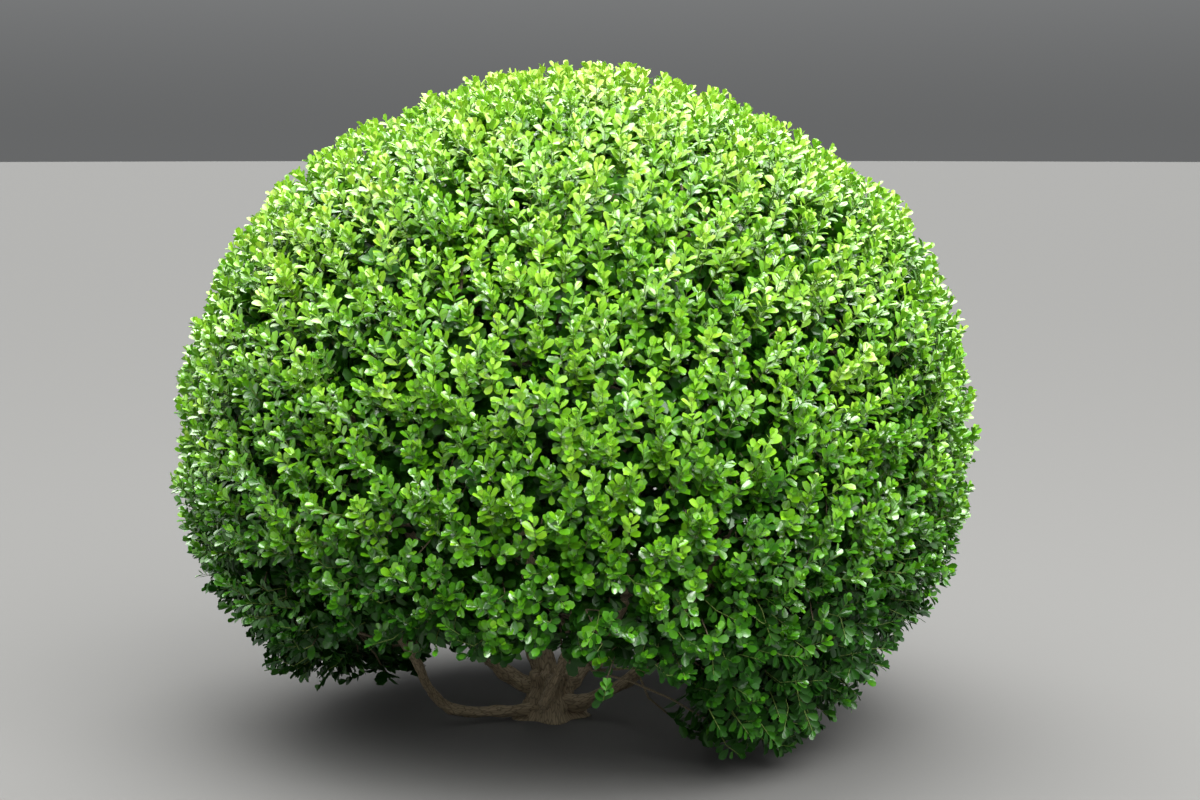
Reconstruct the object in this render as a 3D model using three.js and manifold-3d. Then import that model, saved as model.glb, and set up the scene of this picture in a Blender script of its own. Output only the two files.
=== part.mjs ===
// A clipped box ball: one shrub with several bare stems, rooted in the ground.
// Millimetres, +Z up, +Y away from the viewer. The origin is on the ground, at the middle of the stool.
// The crown is a broad ball clipped to one smooth surface. It is made of seven masses of foliage,
// one to each bough, round a space that is bare inside, as it is on the real plant.
import * as THREE from "three";
import { mergeVertices } from "three/addons/utils/BufferGeometryUtils.js";
import Module from "manifold-3d";

const wasm = await Module();
wasm.setup();

// The clipped surface
const BALL_WIDTH = 1200;
const BALL_DEPTH = 1160;
const BALL_TOP = 995; // height of the crown above the ground
const WAIST_HEIGHT = 425; // height of the widest level
const BALL_OFFSET = 35; // the ball's middle lies this far to the right of the stool
const UPPER_POWER = 2.1; // 2 is an ellipse, more is squarer
const LOWER_POWER = 2.5;
const LOWER_DROP = 445; // how far below the waist the lower half would reach if it closed

// Gentle bulges and flats that the shears left: height in mm, and its place and width in degrees
const SWELLS = [
  { azimuth: -10, elevation: 30, spread: 26, height: 8 },
  { azimuth: 190, elevation: 48, spread: 24, height: -10 },
  { azimuth: 5, elevation: 58, spread: 18, height: -14 },
  { azimuth: 175, elevation: 68, spread: 18, height: -12 },
  { azimuth: -52, elevation: -46, spread: 20, height: 60 },
  { azimuth: -70, elevation: -8, spread: 24, height: 12 },
  { azimuth: 60, elevation: 15, spread: 28, height: 10 },
  { azimuth: 130, elevation: 30, spread: 24, height: -10 },
];

// The hem is the lower edge of the foliage. It lifts off the stems along the front left, and comes down to the
// ground at the front right.
const HEM_HEIGHT = 62;
const HEM_LIFT = { azimuth: -107, spread: 44, height: 158 };
const HEM_DIP = { azimuth: -50, spread: 17, height: -60 };
const HEM_FRINGE = 40; // leaf tips may hang this far below the hem
const LOWEST_LEAF = 4;

// The seven masses: six round the side, and a cap above them
const CAP_ELEVATION = 47; // degrees above the waist at which the cap begins
const SECTOR_HALF = 30; // degrees each way from a side mass's middle
const SPACE_MARGIN = 3; // each mass keeps this far inside its own space
const CORE_INSET = 0.8; // degrees by which a core keeps inside the edges of its mass
const CORE_OUTER = 0.885; // the core's faces, as shares of the way from the middle to the clipped surface
const CORE_INNER = 0.63;
const CORE_INNER_HEM = 0.79; // a side core thins towards the hem, so that it stays clear of the boughs
const CORE_HEM_RISE = 34; // the core's lower edge stays this far above the hem
const CORE_ACROSS = 6; // faces across a side core
const CORE_UP = 7; // faces up a side core
const CAP_AROUND = 18;
const CAP_RINGS = [0.06, 0.3, 0.55, 0.8, 1]; // shares of the way from straight up to the cap's edge
const HEART_SHARE = 0.77; // where the arms of a mass end, inside its core

// The stool, the short trunk that the boughs leave
const STOOL_NECK = 28; // radius at its top
const STOOL_FLARE = 27; // how much wider the root flare is, on the ground
const STOOL_TOP = 74;
const FLARE_FADE = 20; // height over which the flare fades
const FLARE_LOBES = 5;
const LOBE_DEPTH = 0.3;
const LOBE_TURN = 0.6; // radians
const STOOL_SHOULDER = 0.72; // of the neck, at the very top
const STOOL_HUB = 10; // radius of a ring in the flat cut, from which the faces of the lobes spread
const STOOL_SIDES = 20;
const STOOL_LEVELS = [0, 7, 18, 34, 54, 68, STOOL_TOP];
const SEAT = 0.3; // gap between two pieces that meet

// Each bough leaves the stool at its azimuth, bends at its knee and ends where the stem of its mass begins
const BOUGH_FOOT = 9.8; // mean radius where a bough leaves the stool
const BOUGH_TIP = 6.6;
const BOUGH_SIDES = 8;
const BOUGH_STEPS = 12;
const BOUGH_KNOT = 0.13; // how much a knot swells it
const KNOT_WAVES = [
  { rate: 17, phase: 40 },
  { rate: 7, phase: 11 },
];
const BOUGH_ROOT = 12; // a bough's centre line begins this far from the middle of the stool
const TIP_SWING = 3; // degrees by which a bough's tip turns away from its foot
// Side is the azimuth. Foot, knee and tip are distances from the middle of the stool, and heights.
// Swing is how far the knee turns aside, in degrees.
const LIMBS = [
  { name: "front_left", side: -144, foot: [46, 15], knee: [158, 26], tip: [258, 140], swing: -12, girth: 0.95 },
  { name: "front", side: -84, foot: [40, 58], knee: [168, 60], tip: [220, 160], swing: -7, girth: 0.95 },
  { name: "front_right", side: -24, foot: [52, 24], knee: [150, 84], tip: [248, 232], swing: 9, girth: 1.1 },
  { name: "back_right", side: 36, foot: [44, 46], knee: [142, 128], tip: [232, 262], swing: 9, girth: 1.15 },
  { name: "back", side: 96, foot: [52, 22], knee: [156, 96], tip: [242, 238], swing: 9, girth: 1.1 },
  { name: "back_left", side: 156, foot: [46, 44], knee: [128, 112], tip: [226, 252], swing: 9, girth: 1.2 },
];
// The leader rises through the bare middle to the cap
const LEADER_GIRTH = 1.35;
const LEADER_STEPS = 16;
const LEADER_PATH = [
  [0, 0, 44],
  [-22, 10, 168],
  [-44, 26, 347],
  [10, -6, 560],
];

// A mass grows from one stem: arms reach into the core, and twigs leave the arms and stand out of it
const STEM_LENGTH = 34;
const ARM_FOOT = 26; // how far up the stem the arms leave it
const ARM_SIDES = 5;
const ARM_RADII = [6.3, 7]; // at the foot, and where it meets the core
const SIDE_ARMS = [
  { turn: -15, elevation: -14 },
  { turn: 0, elevation: 18 },
  { turn: 15, elevation: -14 },
];
const CAP_ARMS = [20, 140, 260]; // azimuths
const CAP_ARM_ELEVATION = 66;
const TWIG_DIRECTIONS = 128; // evenly spread over the whole sphere, the hem leaves some out
const TWIG_TURN = 34; // azimuth of the first, in degrees
const TWIG_FOOT_SHARE = 0.8;
const TWIG_TIP_SHARE = 0.92;
const TWIG_UNEVEN = 0.02; // how much shorter the shortest twig is
const TWIG_FOOT = 7; // radii of the three-sided twig
const TWIG_TIP = 3.2;
const TWIG_DROOP = 0.16; // the foot of a twig lies lower than its tip, as the shoots grow upwards

// A leaf is larger than life, and stands for a spray of small ones
const LEAF_LENGTH = 124;
const LEAF_SHORTEST = 0.5; // a leaf that the shears would cut shorter than this share is left out
const LEAF_TRIES = [1, 0.85, 0.7]; // shares of its length at which a leaf is tried, until it fits
const LEAF_WIDTH = 0.56; // of its length
const LEAF_WIDEST = 0.58; // how far along it is widest
const LEAF_CREST = { along: 0.46, above: 0.03, below: 0.022 }; // where it is thickest, of its length
const LEAF_EDGE_DROP = 0.03; // its edges curl down by this share, and its tip by the next
const LEAF_TIP_DROP = 0.02;
const LEAF_UNEVEN = 8; // degrees between the steepest and the flattest leaf of a pair
const LEAF_PAIRS = [
  { along: 0.76, angle: 70 },
  { along: 0.97, angle: 46 },
];
const FINEST_EDGE = 0.1; // shorter edges left by the joins are closed up
const SAME_POINT = 0.001; // corners closer than this would fuse when the solid is rounded
const FIRST_SEED = 100;
const SEED_STEP = 100; // from one mass to the next

const BARK = new THREE.MeshStandardMaterial({ color: 0x6e5d49, roughness: 0.9, metalness: 0 });
const LEAF_GREEN = new THREE.MeshStandardMaterial({ color: 0x5fa524, roughness: 0.45, metalness: 0 });
const NEW_GREEN = new THREE.MeshStandardMaterial({ color: 0x86c832, roughness: 0.45, metalness: 0 });

const UP = new THREE.Vector3(0, 0, 1);
const RIGHT = new THREE.Vector3(1, 0, 0);
const NEARLY_UPRIGHT = 0.9; // the height of a unit vector that is too close to upright to cross with it
const MIDDLE = new THREE.Vector3(BALL_OFFSET, 0, WAIST_HEIGHT);
const radians = THREE.MathUtils.degToRad;
const degrees = THREE.MathUtils.radToDeg;

// A repeatable stream of numbers from 0 to 1
function seeded(seed) {
  let state = seed >>> 0;
  return () => {
    state = (state + 0x6d2b79f5) >>> 0;
    let mixed = Math.imul(state ^ (state >>> 15), state | 1);
    mixed ^= mixed + Math.imul(mixed ^ (mixed >>> 7), mixed | 61);
    return ((mixed ^ (mixed >>> 14)) >>> 0) / 4294967296;
  };
}

// The unit vector at an azimuth and an elevation in degrees
function toward(azimuth, elevation) {
  const level = Math.cos(radians(elevation));
  return new THREE.Vector3(
    level * Math.cos(radians(azimuth)),
    level * Math.sin(radians(azimuth)),
    Math.sin(radians(elevation)),
  );
}

// A flat-topped bell of height 1 round an azimuth, in degrees
function bell(azimuth, place) {
  const away = THREE.MathUtils.euclideanModulo(azimuth - place.azimuth + 180, 360) - 180;
  return Math.exp(-((away / place.spread) ** 4));
}

// Distance from the middle of the ball to the clipped surface
function reach(direction) {
  const level = Math.hypot(direction.x / (BALL_WIDTH / 2), direction.y / (BALL_DEPTH / 2));
  const upper = direction.z >= 0;
  const power = upper ? UPPER_POWER : LOWER_POWER;
  const rise = Math.abs(direction.z) / (upper ? BALL_TOP - WAIST_HEIGHT : LOWER_DROP);
  let distance = (level ** power + rise ** power) ** (-1 / power);
  for (const swell of SWELLS) {
    const away = degrees(direction.angleTo(toward(swell.azimuth, swell.elevation)));
    distance += swell.height * Math.exp(-((away / swell.spread) ** 2));
  }
  return distance;
}

// The point at a share of the way from the middle to the clipped surface
function within(direction, share) {
  return direction.clone().multiplyScalar(reach(direction) * share).add(MIDDLE);
}

function hemHeight(azimuth) {
  return HEM_HEIGHT + HEM_LIFT.height * bell(azimuth, HEM_LIFT) + HEM_DIP.height * bell(azimuth, HEM_DIP);
}

// The elevation below the waist at which the surface of that share meets a height, found by halving
function elevationAtHeight(azimuth, share, height) {
  const halvings = 24;
  let low = -85;
  let high = 0;
  for (let halving = 0; halving < halvings; halving += 1) {
    const mid = (low + high) / 2;
    if (within(toward(azimuth, mid), share).z < height) low = mid;
    else high = mid;
  }
  return high;
}

// The space that a mass keeps to: a point's least distance inside the space's sides
function depthInSpace(mass, point) {
  const offset = point.clone().sub(MIDDLE);
  const distance = offset.length();
  const direction = offset.clone().normalize();
  const azimuth = degrees(Math.atan2(offset.y, offset.x));
  const overCap = distance * Math.sin(Math.asin(direction.z) - radians(CAP_ELEVATION));
  let depth = Math.min(reach(direction) - distance + SPACE_MARGIN, mass.cap ? overCap : -overCap);
  if (mass.cap) return depth;
  const level = Math.hypot(offset.x, offset.y);
  const turned = THREE.MathUtils.euclideanModulo(azimuth - mass.azimuth + 180, 360) - 180;
  if (Math.abs(turned) > SECTOR_HALF) return -1;
  depth = Math.min(depth, level * Math.sin(radians(SECTOR_HALF - Math.abs(turned))));
  const aboveHem = point.z - Math.max(hemHeight(azimuth) - HEM_FRINGE, LOWEST_LEAF) + SPACE_MARGIN;
  return Math.min(depth, aboveHem);
}

const insideSpace = (mass, points) => points.every((point) => depthInSpace(mass, point) >= SPACE_MARGIN);

// A closed solid from a list of triangles, each three points, facing out
function solidOf(triangles) {
  const positions = new Float32Array(triangles.flat().flatMap((point) => point.toArray()));
  const loose = new THREE.BufferGeometry().setAttribute("position", new THREE.BufferAttribute(positions, 3));
  const merged = mergeVertices(loose, 1e-4);
  return new wasm.Manifold(
    new wasm.Mesh({
      numProp: 3,
      vertProperties: merged.attributes.position.array,
      triVerts: new Uint32Array(merged.index.array),
    }),
  );
}

// Two triangles for the face a, b, c, d, which runs anticlockwise as seen from outside
const quad = (a, b, c, d) => [[a, b, c], [a, c, d]];

// The faces between two rows of points; a closed row runs on from its last point to its first
function band(low, high, closed) {
  const triangles = [];
  for (let spot = 0; spot < (closed ? low.length : low.length - 1); spot += 1) {
    const next = (spot + 1) % low.length;
    triangles.push(...quad(low[spot], low[next], high[next], high[spot]));
  }
  return triangles;
}

// A closed tube through rings of equal count, each ring anticlockwise as seen from the far end
function throughRings(rings) {
  const first = rings[0];
  const last = rings[rings.length - 1];
  const triangles = rings.slice(1).flatMap((ring, level) => band(rings[level], ring, true));
  for (let side = 2; side < first.length; side += 1) {
    triangles.push([first[0], first[side], first[side - 1]]);
    triangles.push([last[0], last[side - 1], last[side]]);
  }
  return solidOf(triangles);
}

// A ring of points round a centre, square to an axis
function ringAround(centre, axis, radius, sides, turn = 0) {
  const level = Math.abs(axis.z) > NEARLY_UPRIGHT ? RIGHT : UP;
  const across = new THREE.Vector3().crossVectors(axis, level).normalize();
  const along = new THREE.Vector3().crossVectors(axis, across).normalize();
  return Array.from({ length: sides }, (_, side) => {
    const angle = turn + (side / sides) * Math.PI * 2;
    return centre
      .clone()
      .addScaledVector(across, Math.cos(angle) * radius)
      .addScaledVector(along, Math.sin(angle) * radius);
  });
}

// A limb along a curve, with a radius for each share of its length
function limbAlong(curve, radiusAt, sides, steps) {
  const frames = curve.computeFrenetFrames(steps, false);
  const rings = [];
  for (let step = 0; step <= steps; step += 1) {
    const share = step / steps;
    const centre = curve.getPointAt(share);
    const radius = radiusAt(share);
    rings.push(
      Array.from({ length: sides }, (_, side) => {
        const angle = (side / sides) * Math.PI * 2;
        return centre
          .clone()
          .addScaledVector(frames.normals[step], Math.cos(angle) * radius)
          .addScaledVector(frames.binormals[step], Math.sin(angle) * radius);
      }),
    );
  }
  return throughRings(rings);
}

// The stool, grown by a clearance where a bough is cut clear of it
function stoolSolid(clearance = 0) {
  const ringAt = (level, radiusAt) =>
    Array.from({ length: STOOL_SIDES }, (_, side) => {
      const angle = (side / STOOL_SIDES) * Math.PI * 2;
      const radius = radiusAt(angle);
      return new THREE.Vector3(Math.cos(angle) * radius, Math.sin(angle) * radius, level);
    });
  const rings = STOOL_LEVELS.map((height) => {
    const flare = Math.exp(-height / FLARE_FADE);
    const shoulder = height === STOOL_TOP ? STOOL_SHOULDER : 1;
    const level = height === STOOL_TOP ? height + clearance : height;
    return ringAt(level, (angle) => {
      const lobe = 1 + LOBE_DEPTH * Math.cos(FLARE_LOBES * angle + LOBE_TURN);
      return STOOL_NECK * shoulder + STOOL_FLARE * flare * lobe + clearance;
    });
  });
  return throughRings([ringAt(0, () => STOOL_HUB), ...rings]);
}

// The centre line of a bough, from inside the stool out to its tip
function boughCurve(limb) {
  if (limb.leader) return new THREE.CatmullRomCurve3(LEADER_PATH.map((place) => new THREE.Vector3(...place)));
  const stations = [
    [BOUGH_ROOT, limb.foot[1]],
    limb.foot,
    limb.knee,
    limb.tip,
  ];
  const turns = [0, 0, limb.swing, TIP_SWING];
  return new THREE.CatmullRomCurve3(
    stations.map(([out, height], index) => {
      const spot = toward(limb.side + turns[index], 0).multiplyScalar(out);
      return spot.setZ(height);
    }),
  );
}

// Knots swell a bough at uneven places, and it tapers from its foot to its tip
function boughRadius(limb, share) {
  const taper = THREE.MathUtils.lerp(BOUGH_FOOT, BOUGH_TIP, share) * limb.girth;
  const knots = KNOT_WAVES.reduce((product, wave) => {
    return product * Math.sin(share * wave.rate + limb.girth * wave.phase);
  }, 1);
  return taper * (1 + BOUGH_KNOT * knots * (1 - share));
}

function boughSolid(limb) {
  const steps = limb.leader ? LEADER_STEPS : BOUGH_STEPS;
  const whole = limbAlong(boughCurve(limb), (share) => boughRadius(limb, share), BOUGH_SIDES, steps);
  return whole.subtract(stoolSolid(SEAT));
}

// A block of the shell between two shares, over a grid of azimuths and elevations
function sideCore(mass) {
  const lay = (share, hemShare) =>
    Array.from({ length: CORE_ACROSS + 1 }, (_, across) => {
      const azimuth = mass.azimuth + (SECTOR_HALF - CORE_INSET) * ((2 * across) / CORE_ACROSS - 1);
      const lowest = elevationAtHeight(azimuth, CORE_OUTER, hemHeight(azimuth) + CORE_HEM_RISE);
      const highest = CAP_ELEVATION - CORE_INSET;
      return Array.from({ length: CORE_UP + 1 }, (__, up) => {
        const rise = up / CORE_UP;
        const shareHere = THREE.MathUtils.lerp(hemShare, share, Math.min(1, 2 * rise));
        return within(toward(azimuth, THREE.MathUtils.lerp(lowest, highest, rise)), shareHere);
      });
    });
  const outer = lay(CORE_OUTER, CORE_OUTER);
  const inner = lay(CORE_INNER, CORE_INNER_HEM);
  const around = [...outer.toReversed(), ...inner];
  const row = (columns, level) => columns.map((column) => column[level]);
  return solidOf([
    ...around.flatMap((column, index) => band(column, around[(index + 1) % around.length], false)),
    ...band(row(inner, 0), row(outer, 0), false),
    ...band(row(outer, CORE_UP), row(inner, CORE_UP), false),
  ]);
}

// The cap's core is a dish, hollow side down
function capCore() {
  const widest = 90 - CAP_ELEVATION - CORE_INSET;
  const lay = (share) =>
    CAP_RINGS.map((out) =>
      Array.from({ length: CAP_AROUND }, (_, around) =>
        within(toward((around / CAP_AROUND) * 360, 90 - widest * out), share),
      ),
    );
  return throughRings([...lay(CORE_INNER), ...lay(CORE_OUTER).toReversed()]);
}

// A straight or bent twig of few sides through given centres
function twigSolid(centres, radii, sides, turn) {
  const rings = centres.map((centre, index) => {
    const before = centres[Math.max(index - 1, 0)];
    const after = centres[Math.min(index + 1, centres.length - 1)];
    return ringAround(centre, after.clone().sub(before).normalize(), radii[index], sides, turn);
  });
  return throughRings(rings);
}

// The six corners of a leaf: root, tip, two edges, back and face
function leafCorners(root, axis, side, face, length) {
  const at = (along, across, up) =>
    root
      .clone()
      .addScaledVector(axis, along * length)
      .addScaledVector(side, across * length)
      .addScaledVector(face, up * length);
  return {
    root: at(0, 0, 0),
    tip: at(1, 0, -LEAF_TIP_DROP),
    left: at(LEAF_WIDEST, -LEAF_WIDTH / 2, -LEAF_EDGE_DROP),
    right: at(LEAF_WIDEST, LEAF_WIDTH / 2, -LEAF_EDGE_DROP),
    crest: at(LEAF_CREST.along, 0, LEAF_CREST.above),
    back: at(LEAF_CREST.along, 0, -LEAF_CREST.below),
  };
}

function leafSolid({ root, tip, left, right, crest, back }) {
  return solidOf([
    [root, right, crest],
    [right, tip, crest],
    [tip, left, crest],
    [left, root, crest],
    [right, root, back],
    [tip, right, back],
    [left, tip, back],
    [root, left, back],
  ]);
}

// The longest leaf along an axis that the shears leave, or nothing where it would be a stub
function clippedLength(root, axis) {
  const inside = (length) => {
    const offset = root.clone().addScaledVector(axis, length).sub(MIDDLE);
    return offset.length() <= reach(offset.clone().normalize());
  };
  let length = LEAF_LENGTH;
  while (length > LEAF_LENGTH * LEAF_SHORTEST && !inside(length)) length -= 1;
  return inside(length) ? length : 0;
}

// Whether a leaf would cut into one that another twig already bears
function crosses(leaf, others) {
  const box = leaf.boundingBox();
  return others.some((other) => {
    const apart = other.boundingBox();
    const near = box.min.every((low, axis) => low < apart.max[axis] && apart.min[axis] < box.max[axis]);
    return near && !leaf.intersect(other).isEmpty();
  });
}

// One leaf at a spot on a twig, at an angle from the twig, towards a bearing round it
function leafOn(mass, foot, tip, along, angle, bearing, others) {
  const stem = tip.clone().sub(foot).normalize();
  const flank = new THREE.Vector3().crossVectors(stem, UP).normalize();
  const out = flank.applyAxisAngle(stem, bearing);
  const axis = stem.clone().multiplyScalar(Math.cos(angle)).addScaledVector(out, Math.sin(angle));
  const face = stem.clone().multiplyScalar(Math.sin(angle)).addScaledVector(out, -Math.cos(angle));
  const side = new THREE.Vector3().crossVectors(axis, face);
  const root = foot.clone().lerp(tip, along);
  const longest = clippedLength(root, axis);
  for (const share of longest ? LEAF_TRIES : []) {
    const corners = leafCorners(root, axis, side, face, longest * share);
    const leaf = leafSolid(corners);
    if (insideSpace(mass, Object.values(corners)) && !crosses(leaf, others)) return leaf;
  }
  return null;
}

// The directions in which twigs come out, evenly spread over the sphere, kept above the hem
function twigDirections() {
  const golden = 180 * (3 - Math.sqrt(5));
  const directions = [];
  for (let index = 0; index < TWIG_DIRECTIONS; index += 1) {
    const elevation = degrees(Math.asin(1 - (2 * index + 1) / TWIG_DIRECTIONS));
    const direction = toward(TWIG_TURN + index * golden, elevation);
    const azimuth = degrees(Math.atan2(direction.y, direction.x));
    if (within(direction, TWIG_TIP_SHARE).z > hemHeight(azimuth)) directions.push(direction);
  }
  return directions;
}

// The ends of a mass's arms, inside its core
function armEnds(mass) {
  if (mass.cap) return CAP_ARMS.map((azimuth) => within(toward(azimuth, CAP_ARM_ELEVATION), HEART_SHARE));
  return SIDE_ARMS.map((arm) => within(toward(mass.azimuth + arm.turn, arm.elevation), HEART_SHARE));
}

// One mass: stem, arms and core, with the twigs and leaves that stand out of it, joined into one solid
function grownMass(mass, directions, seed) {
  const random = seeded(seed);
  const curve = boughCurve(mass.limb);
  const tip = curve.getPointAt(1);
  const onward = curve.getTangentAt(1);
  const stemFoot = tip.clone().addScaledVector(onward, SEAT);
  const stemTop = tip.clone().addScaledVector(onward, STEM_LENGTH);
  const tipRadius = boughRadius(mass.limb, 1);
  const ends = armEnds(mass);
  const pieces = [mass.cap ? capCore() : sideCore(mass)];
  pieces.push(throughRings([
    ringAround(stemFoot, onward, tipRadius, BOUGH_SIDES),
    ringAround(stemTop, onward, tipRadius, BOUGH_SIDES),
  ]));
  const armFoot = tip.clone().addScaledVector(onward, ARM_FOOT);
  for (const end of ends) pieces.push(twigSolid([armFoot, end], ARM_RADII, ARM_SIDES, 0));
  const borne = [];
  directions.forEach((direction) => {
    const lowered = direction.clone().addScaledVector(UP, -TWIG_DROOP).normalize();
    const foot = within(lowered, TWIG_FOOT_SHARE);
    const shootTip = within(direction, TWIG_TIP_SHARE - TWIG_UNEVEN * random());
    const bearing = random() * Math.PI;
    if (!insideSpace(mass, [foot, shootTip])) return;
    const nearest = ends.reduce((best, end) => (end.distanceTo(foot) < best.distanceTo(foot) ? end : best));
    const leaves = [];
    LEAF_PAIRS.forEach((pair, order) => {
      for (const half of [0, Math.PI]) {
        const angle = radians(pair.angle + LEAF_UNEVEN * (random() - 0.5));
        const turn = bearing + (order * Math.PI) / 2 + half;
        leaves.push(leafOn(mass, foot, shootTip, pair.along, angle, turn, borne));
      }
    });
    borne.push(...leaves.filter(Boolean));
    pieces.push(twigSolid([nearest, foot, shootTip], [TWIG_FOOT, TWIG_FOOT, TWIG_TIP], 3, bearing));
  });
  const joined = wasm.Manifold.union([...pieces, ...borne]).simplify(FINEST_EDGE);
  return joined.decompose().reduce((largest, body) => (body.volume() > largest.volume() ? body : largest));
}

// Whether two corners of a solid lie so close that they would fuse
function isCramped(solid) {
  const { vertProperties } = solid.getMesh();
  const taken = new Set();
  for (let start = 0; start < vertProperties.length; start += 3) {
    const corner = vertProperties.slice(start, start + 3);
    taken.add(corner.map((value) => Math.round(value / SAME_POINT)).join());
  }
  return taken.size < vertProperties.length / 3;
}

// The first growth of a mass, seed by seed, that stays closed when it is rounded
function massSolid(mass, directions) {
  let seed = mass.seed;
  let solid = grownMass(mass, directions, seed);
  while (isCramped(solid)) {
    seed += 1;
    solid = grownMass(mass, directions, seed);
  }
  return solid;
}

function meshOf(name, solid, material) {
  const { vertProperties, triVerts } = solid.getMesh();
  const geometry = new THREE.BufferGeometry()
    .setAttribute("position", new THREE.BufferAttribute(vertProperties, 3))
    .setIndex(new THREE.BufferAttribute(triVerts, 1));
  geometry.computeVertexNormals();
  const mesh = new THREE.Mesh(geometry, material);
  mesh.name = name;
  return mesh;
}

const ball = new THREE.Group();
ball.add(meshOf("trunk", stoolSolid(), BARK));

const limbs = [...LIMBS, { name: "top", side: 0, leader: true, girth: LEADER_GIRTH }];
const masses = limbs.map((limb, index) => ({
  name: `foliage_${limb.name}`,
  azimuth: limb.side,
  cap: limb.leader,
  seed: FIRST_SEED + index * SEED_STEP,
  limb,
}));
const directions = twigDirections();
for (const limb of limbs) ball.add(meshOf(`bough_${limb.name}`, boughSolid(limb), BARK));
for (const mass of masses) {
  const own = directions.filter((direction) => depthInSpace(mass, within(direction, TWIG_TIP_SHARE)) > 0);
  ball.add(meshOf(mass.name, massSolid(mass, own), mass.cap ? NEW_GREEN : LEAF_GREEN));
}

export default ball;
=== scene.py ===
"""A clipped box ball: bark, twigs and leaves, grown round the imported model.

Metres, +Z up, +Y away from the viewer, with the origin on the ground at the middle of the stool. The stool
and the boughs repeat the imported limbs. Each mass of foliage grows on from its bough by one seeded rule:
stem, arms, twigs, branchlets and leafy shoots, out to the surface that the shears left.
"""

from __future__ import annotations

import logging
import math
from dataclasses import dataclass, field, fields
from enum import Enum
from typing import NamedTuple

import bpy
import numpy as np
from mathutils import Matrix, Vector

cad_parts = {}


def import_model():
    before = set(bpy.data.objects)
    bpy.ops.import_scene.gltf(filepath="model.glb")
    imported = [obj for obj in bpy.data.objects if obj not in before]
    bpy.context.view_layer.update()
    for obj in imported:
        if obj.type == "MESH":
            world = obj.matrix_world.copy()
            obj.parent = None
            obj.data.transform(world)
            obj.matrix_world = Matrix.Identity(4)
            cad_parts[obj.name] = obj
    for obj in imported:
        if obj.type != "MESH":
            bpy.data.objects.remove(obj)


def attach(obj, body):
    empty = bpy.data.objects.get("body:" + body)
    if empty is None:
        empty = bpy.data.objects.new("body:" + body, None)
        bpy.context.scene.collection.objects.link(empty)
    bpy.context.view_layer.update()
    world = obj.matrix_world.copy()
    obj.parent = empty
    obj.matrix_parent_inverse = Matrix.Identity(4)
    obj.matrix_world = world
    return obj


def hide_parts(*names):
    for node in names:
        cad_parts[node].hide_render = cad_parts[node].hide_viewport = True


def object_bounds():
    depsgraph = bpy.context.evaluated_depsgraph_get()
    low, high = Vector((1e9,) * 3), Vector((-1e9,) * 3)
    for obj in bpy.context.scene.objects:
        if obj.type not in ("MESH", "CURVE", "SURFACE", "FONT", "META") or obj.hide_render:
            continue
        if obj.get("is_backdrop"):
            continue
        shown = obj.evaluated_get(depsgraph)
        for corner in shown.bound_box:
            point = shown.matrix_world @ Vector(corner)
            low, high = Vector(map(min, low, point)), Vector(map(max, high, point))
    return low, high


Array = np.ndarray
Random = np.random.Generator
Span = tuple[float, float]
Point = tuple[float, float, float]
Colour = tuple[float, float, float]
Entries = dict[str | int, object]

BODY = "root"
UP = np.array([0.0, 0.0, 1.0])
ASIDE = np.array([1.0, 0.0, 0.0])
NEARLY_UPRIGHT = 0.98
WORKING_ATTRIBUTES = ("finish", "girth", "along", "face", "form")
LOG = logging.getLogger("box_ball")


def unit(vectors: Array) -> Array:
    """Scale vectors along the last axis to length one."""
    return vectors / np.linalg.norm(vectors, axis=-1, keepdims=True)


def toward(azimuth: Array | float, elevation: Array | float) -> Array:
    """Find the direction at an azimuth and an elevation.

    Args:
        azimuth: Degrees round from +X towards +Y.
        elevation: Degrees up from level.

    Returns:
        Unit vectors along the last axis.
    """
    around, rise = np.radians(azimuth), np.radians(elevation)
    parts = np.cos(rise) * np.cos(around), np.cos(rise) * np.sin(around), np.sin(rise)
    return np.stack(np.broadcast_arrays(*parts), axis=-1)


def azimuth_of(directions: Array) -> Array:
    """Find the azimuth of directions, in degrees round from +X towards +Y."""
    return np.degrees(np.arctan2(directions[..., 1], directions[..., 0]))


def spiral(count: int, turn: float) -> Array:
    """Spread directions evenly over the whole sphere, from the top down.

    Args:
        count: Number of directions.
        turn: Azimuth of the first, in degrees.

    Returns:
        Unit vectors, one to a row.
    """
    golden = 180 * (3 - math.sqrt(5))
    index = np.arange(count)
    return toward(turn + index * golden, np.degrees(np.arcsin(1 - (2 * index + 1) / count)))


def square_to(stems: Array) -> tuple[Array, Array]:
    """Find two directions square to each stem and to each other.

    Args:
        stems: Unit vectors along the last axis.

    Returns:
        The level one, and the one square to it.
    """
    beside = np.where(np.abs(stems[..., 2:]) > NEARLY_UPRIGHT, ASIDE, UP)
    flank = unit(np.cross(stems, beside))
    return flank, np.cross(stems, flank)


def bell(azimuth: Array, middle: float, spread: float) -> Array:
    """Give one at the middle azimuth, falling to nothing over the spread on both sides, in degrees."""
    away = (azimuth - middle + 180) % 360 - 180
    return np.exp(-((away / spread) ** 4))


def rows_of(kind: type, *rows: tuple[float, ...]) -> tuple:
    """Make one record of a kind from each row of numbers."""
    return tuple(kind(*row) for row in rows)


@dataclass(frozen=True)
class Waves:
    """Smooth unevenness in space: plane waves of about one wavelength, in seeded directions."""

    wavelength: float
    seed: int
    height: float
    count: int = 20
    paces: Span = (0.7, 1.4)

    def at(self, points: Array) -> Array:
        """Read the unevenness.

        Args:
            points: Places along the last axis.

        Returns:
            Values about zero, mostly within one and a half times the height.
        """
        random = np.random.default_rng(self.seed)
        pace = random.uniform(*self.paces, (self.count, 1)) * math.tau / self.wavelength
        ways = unit(random.normal(size=(self.count, 3))) * pace
        phases = random.uniform(0, math.tau, self.count)
        return np.sin(points @ ways.T + phases).sum(-1) * math.sqrt(1 / self.count) * self.height


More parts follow.
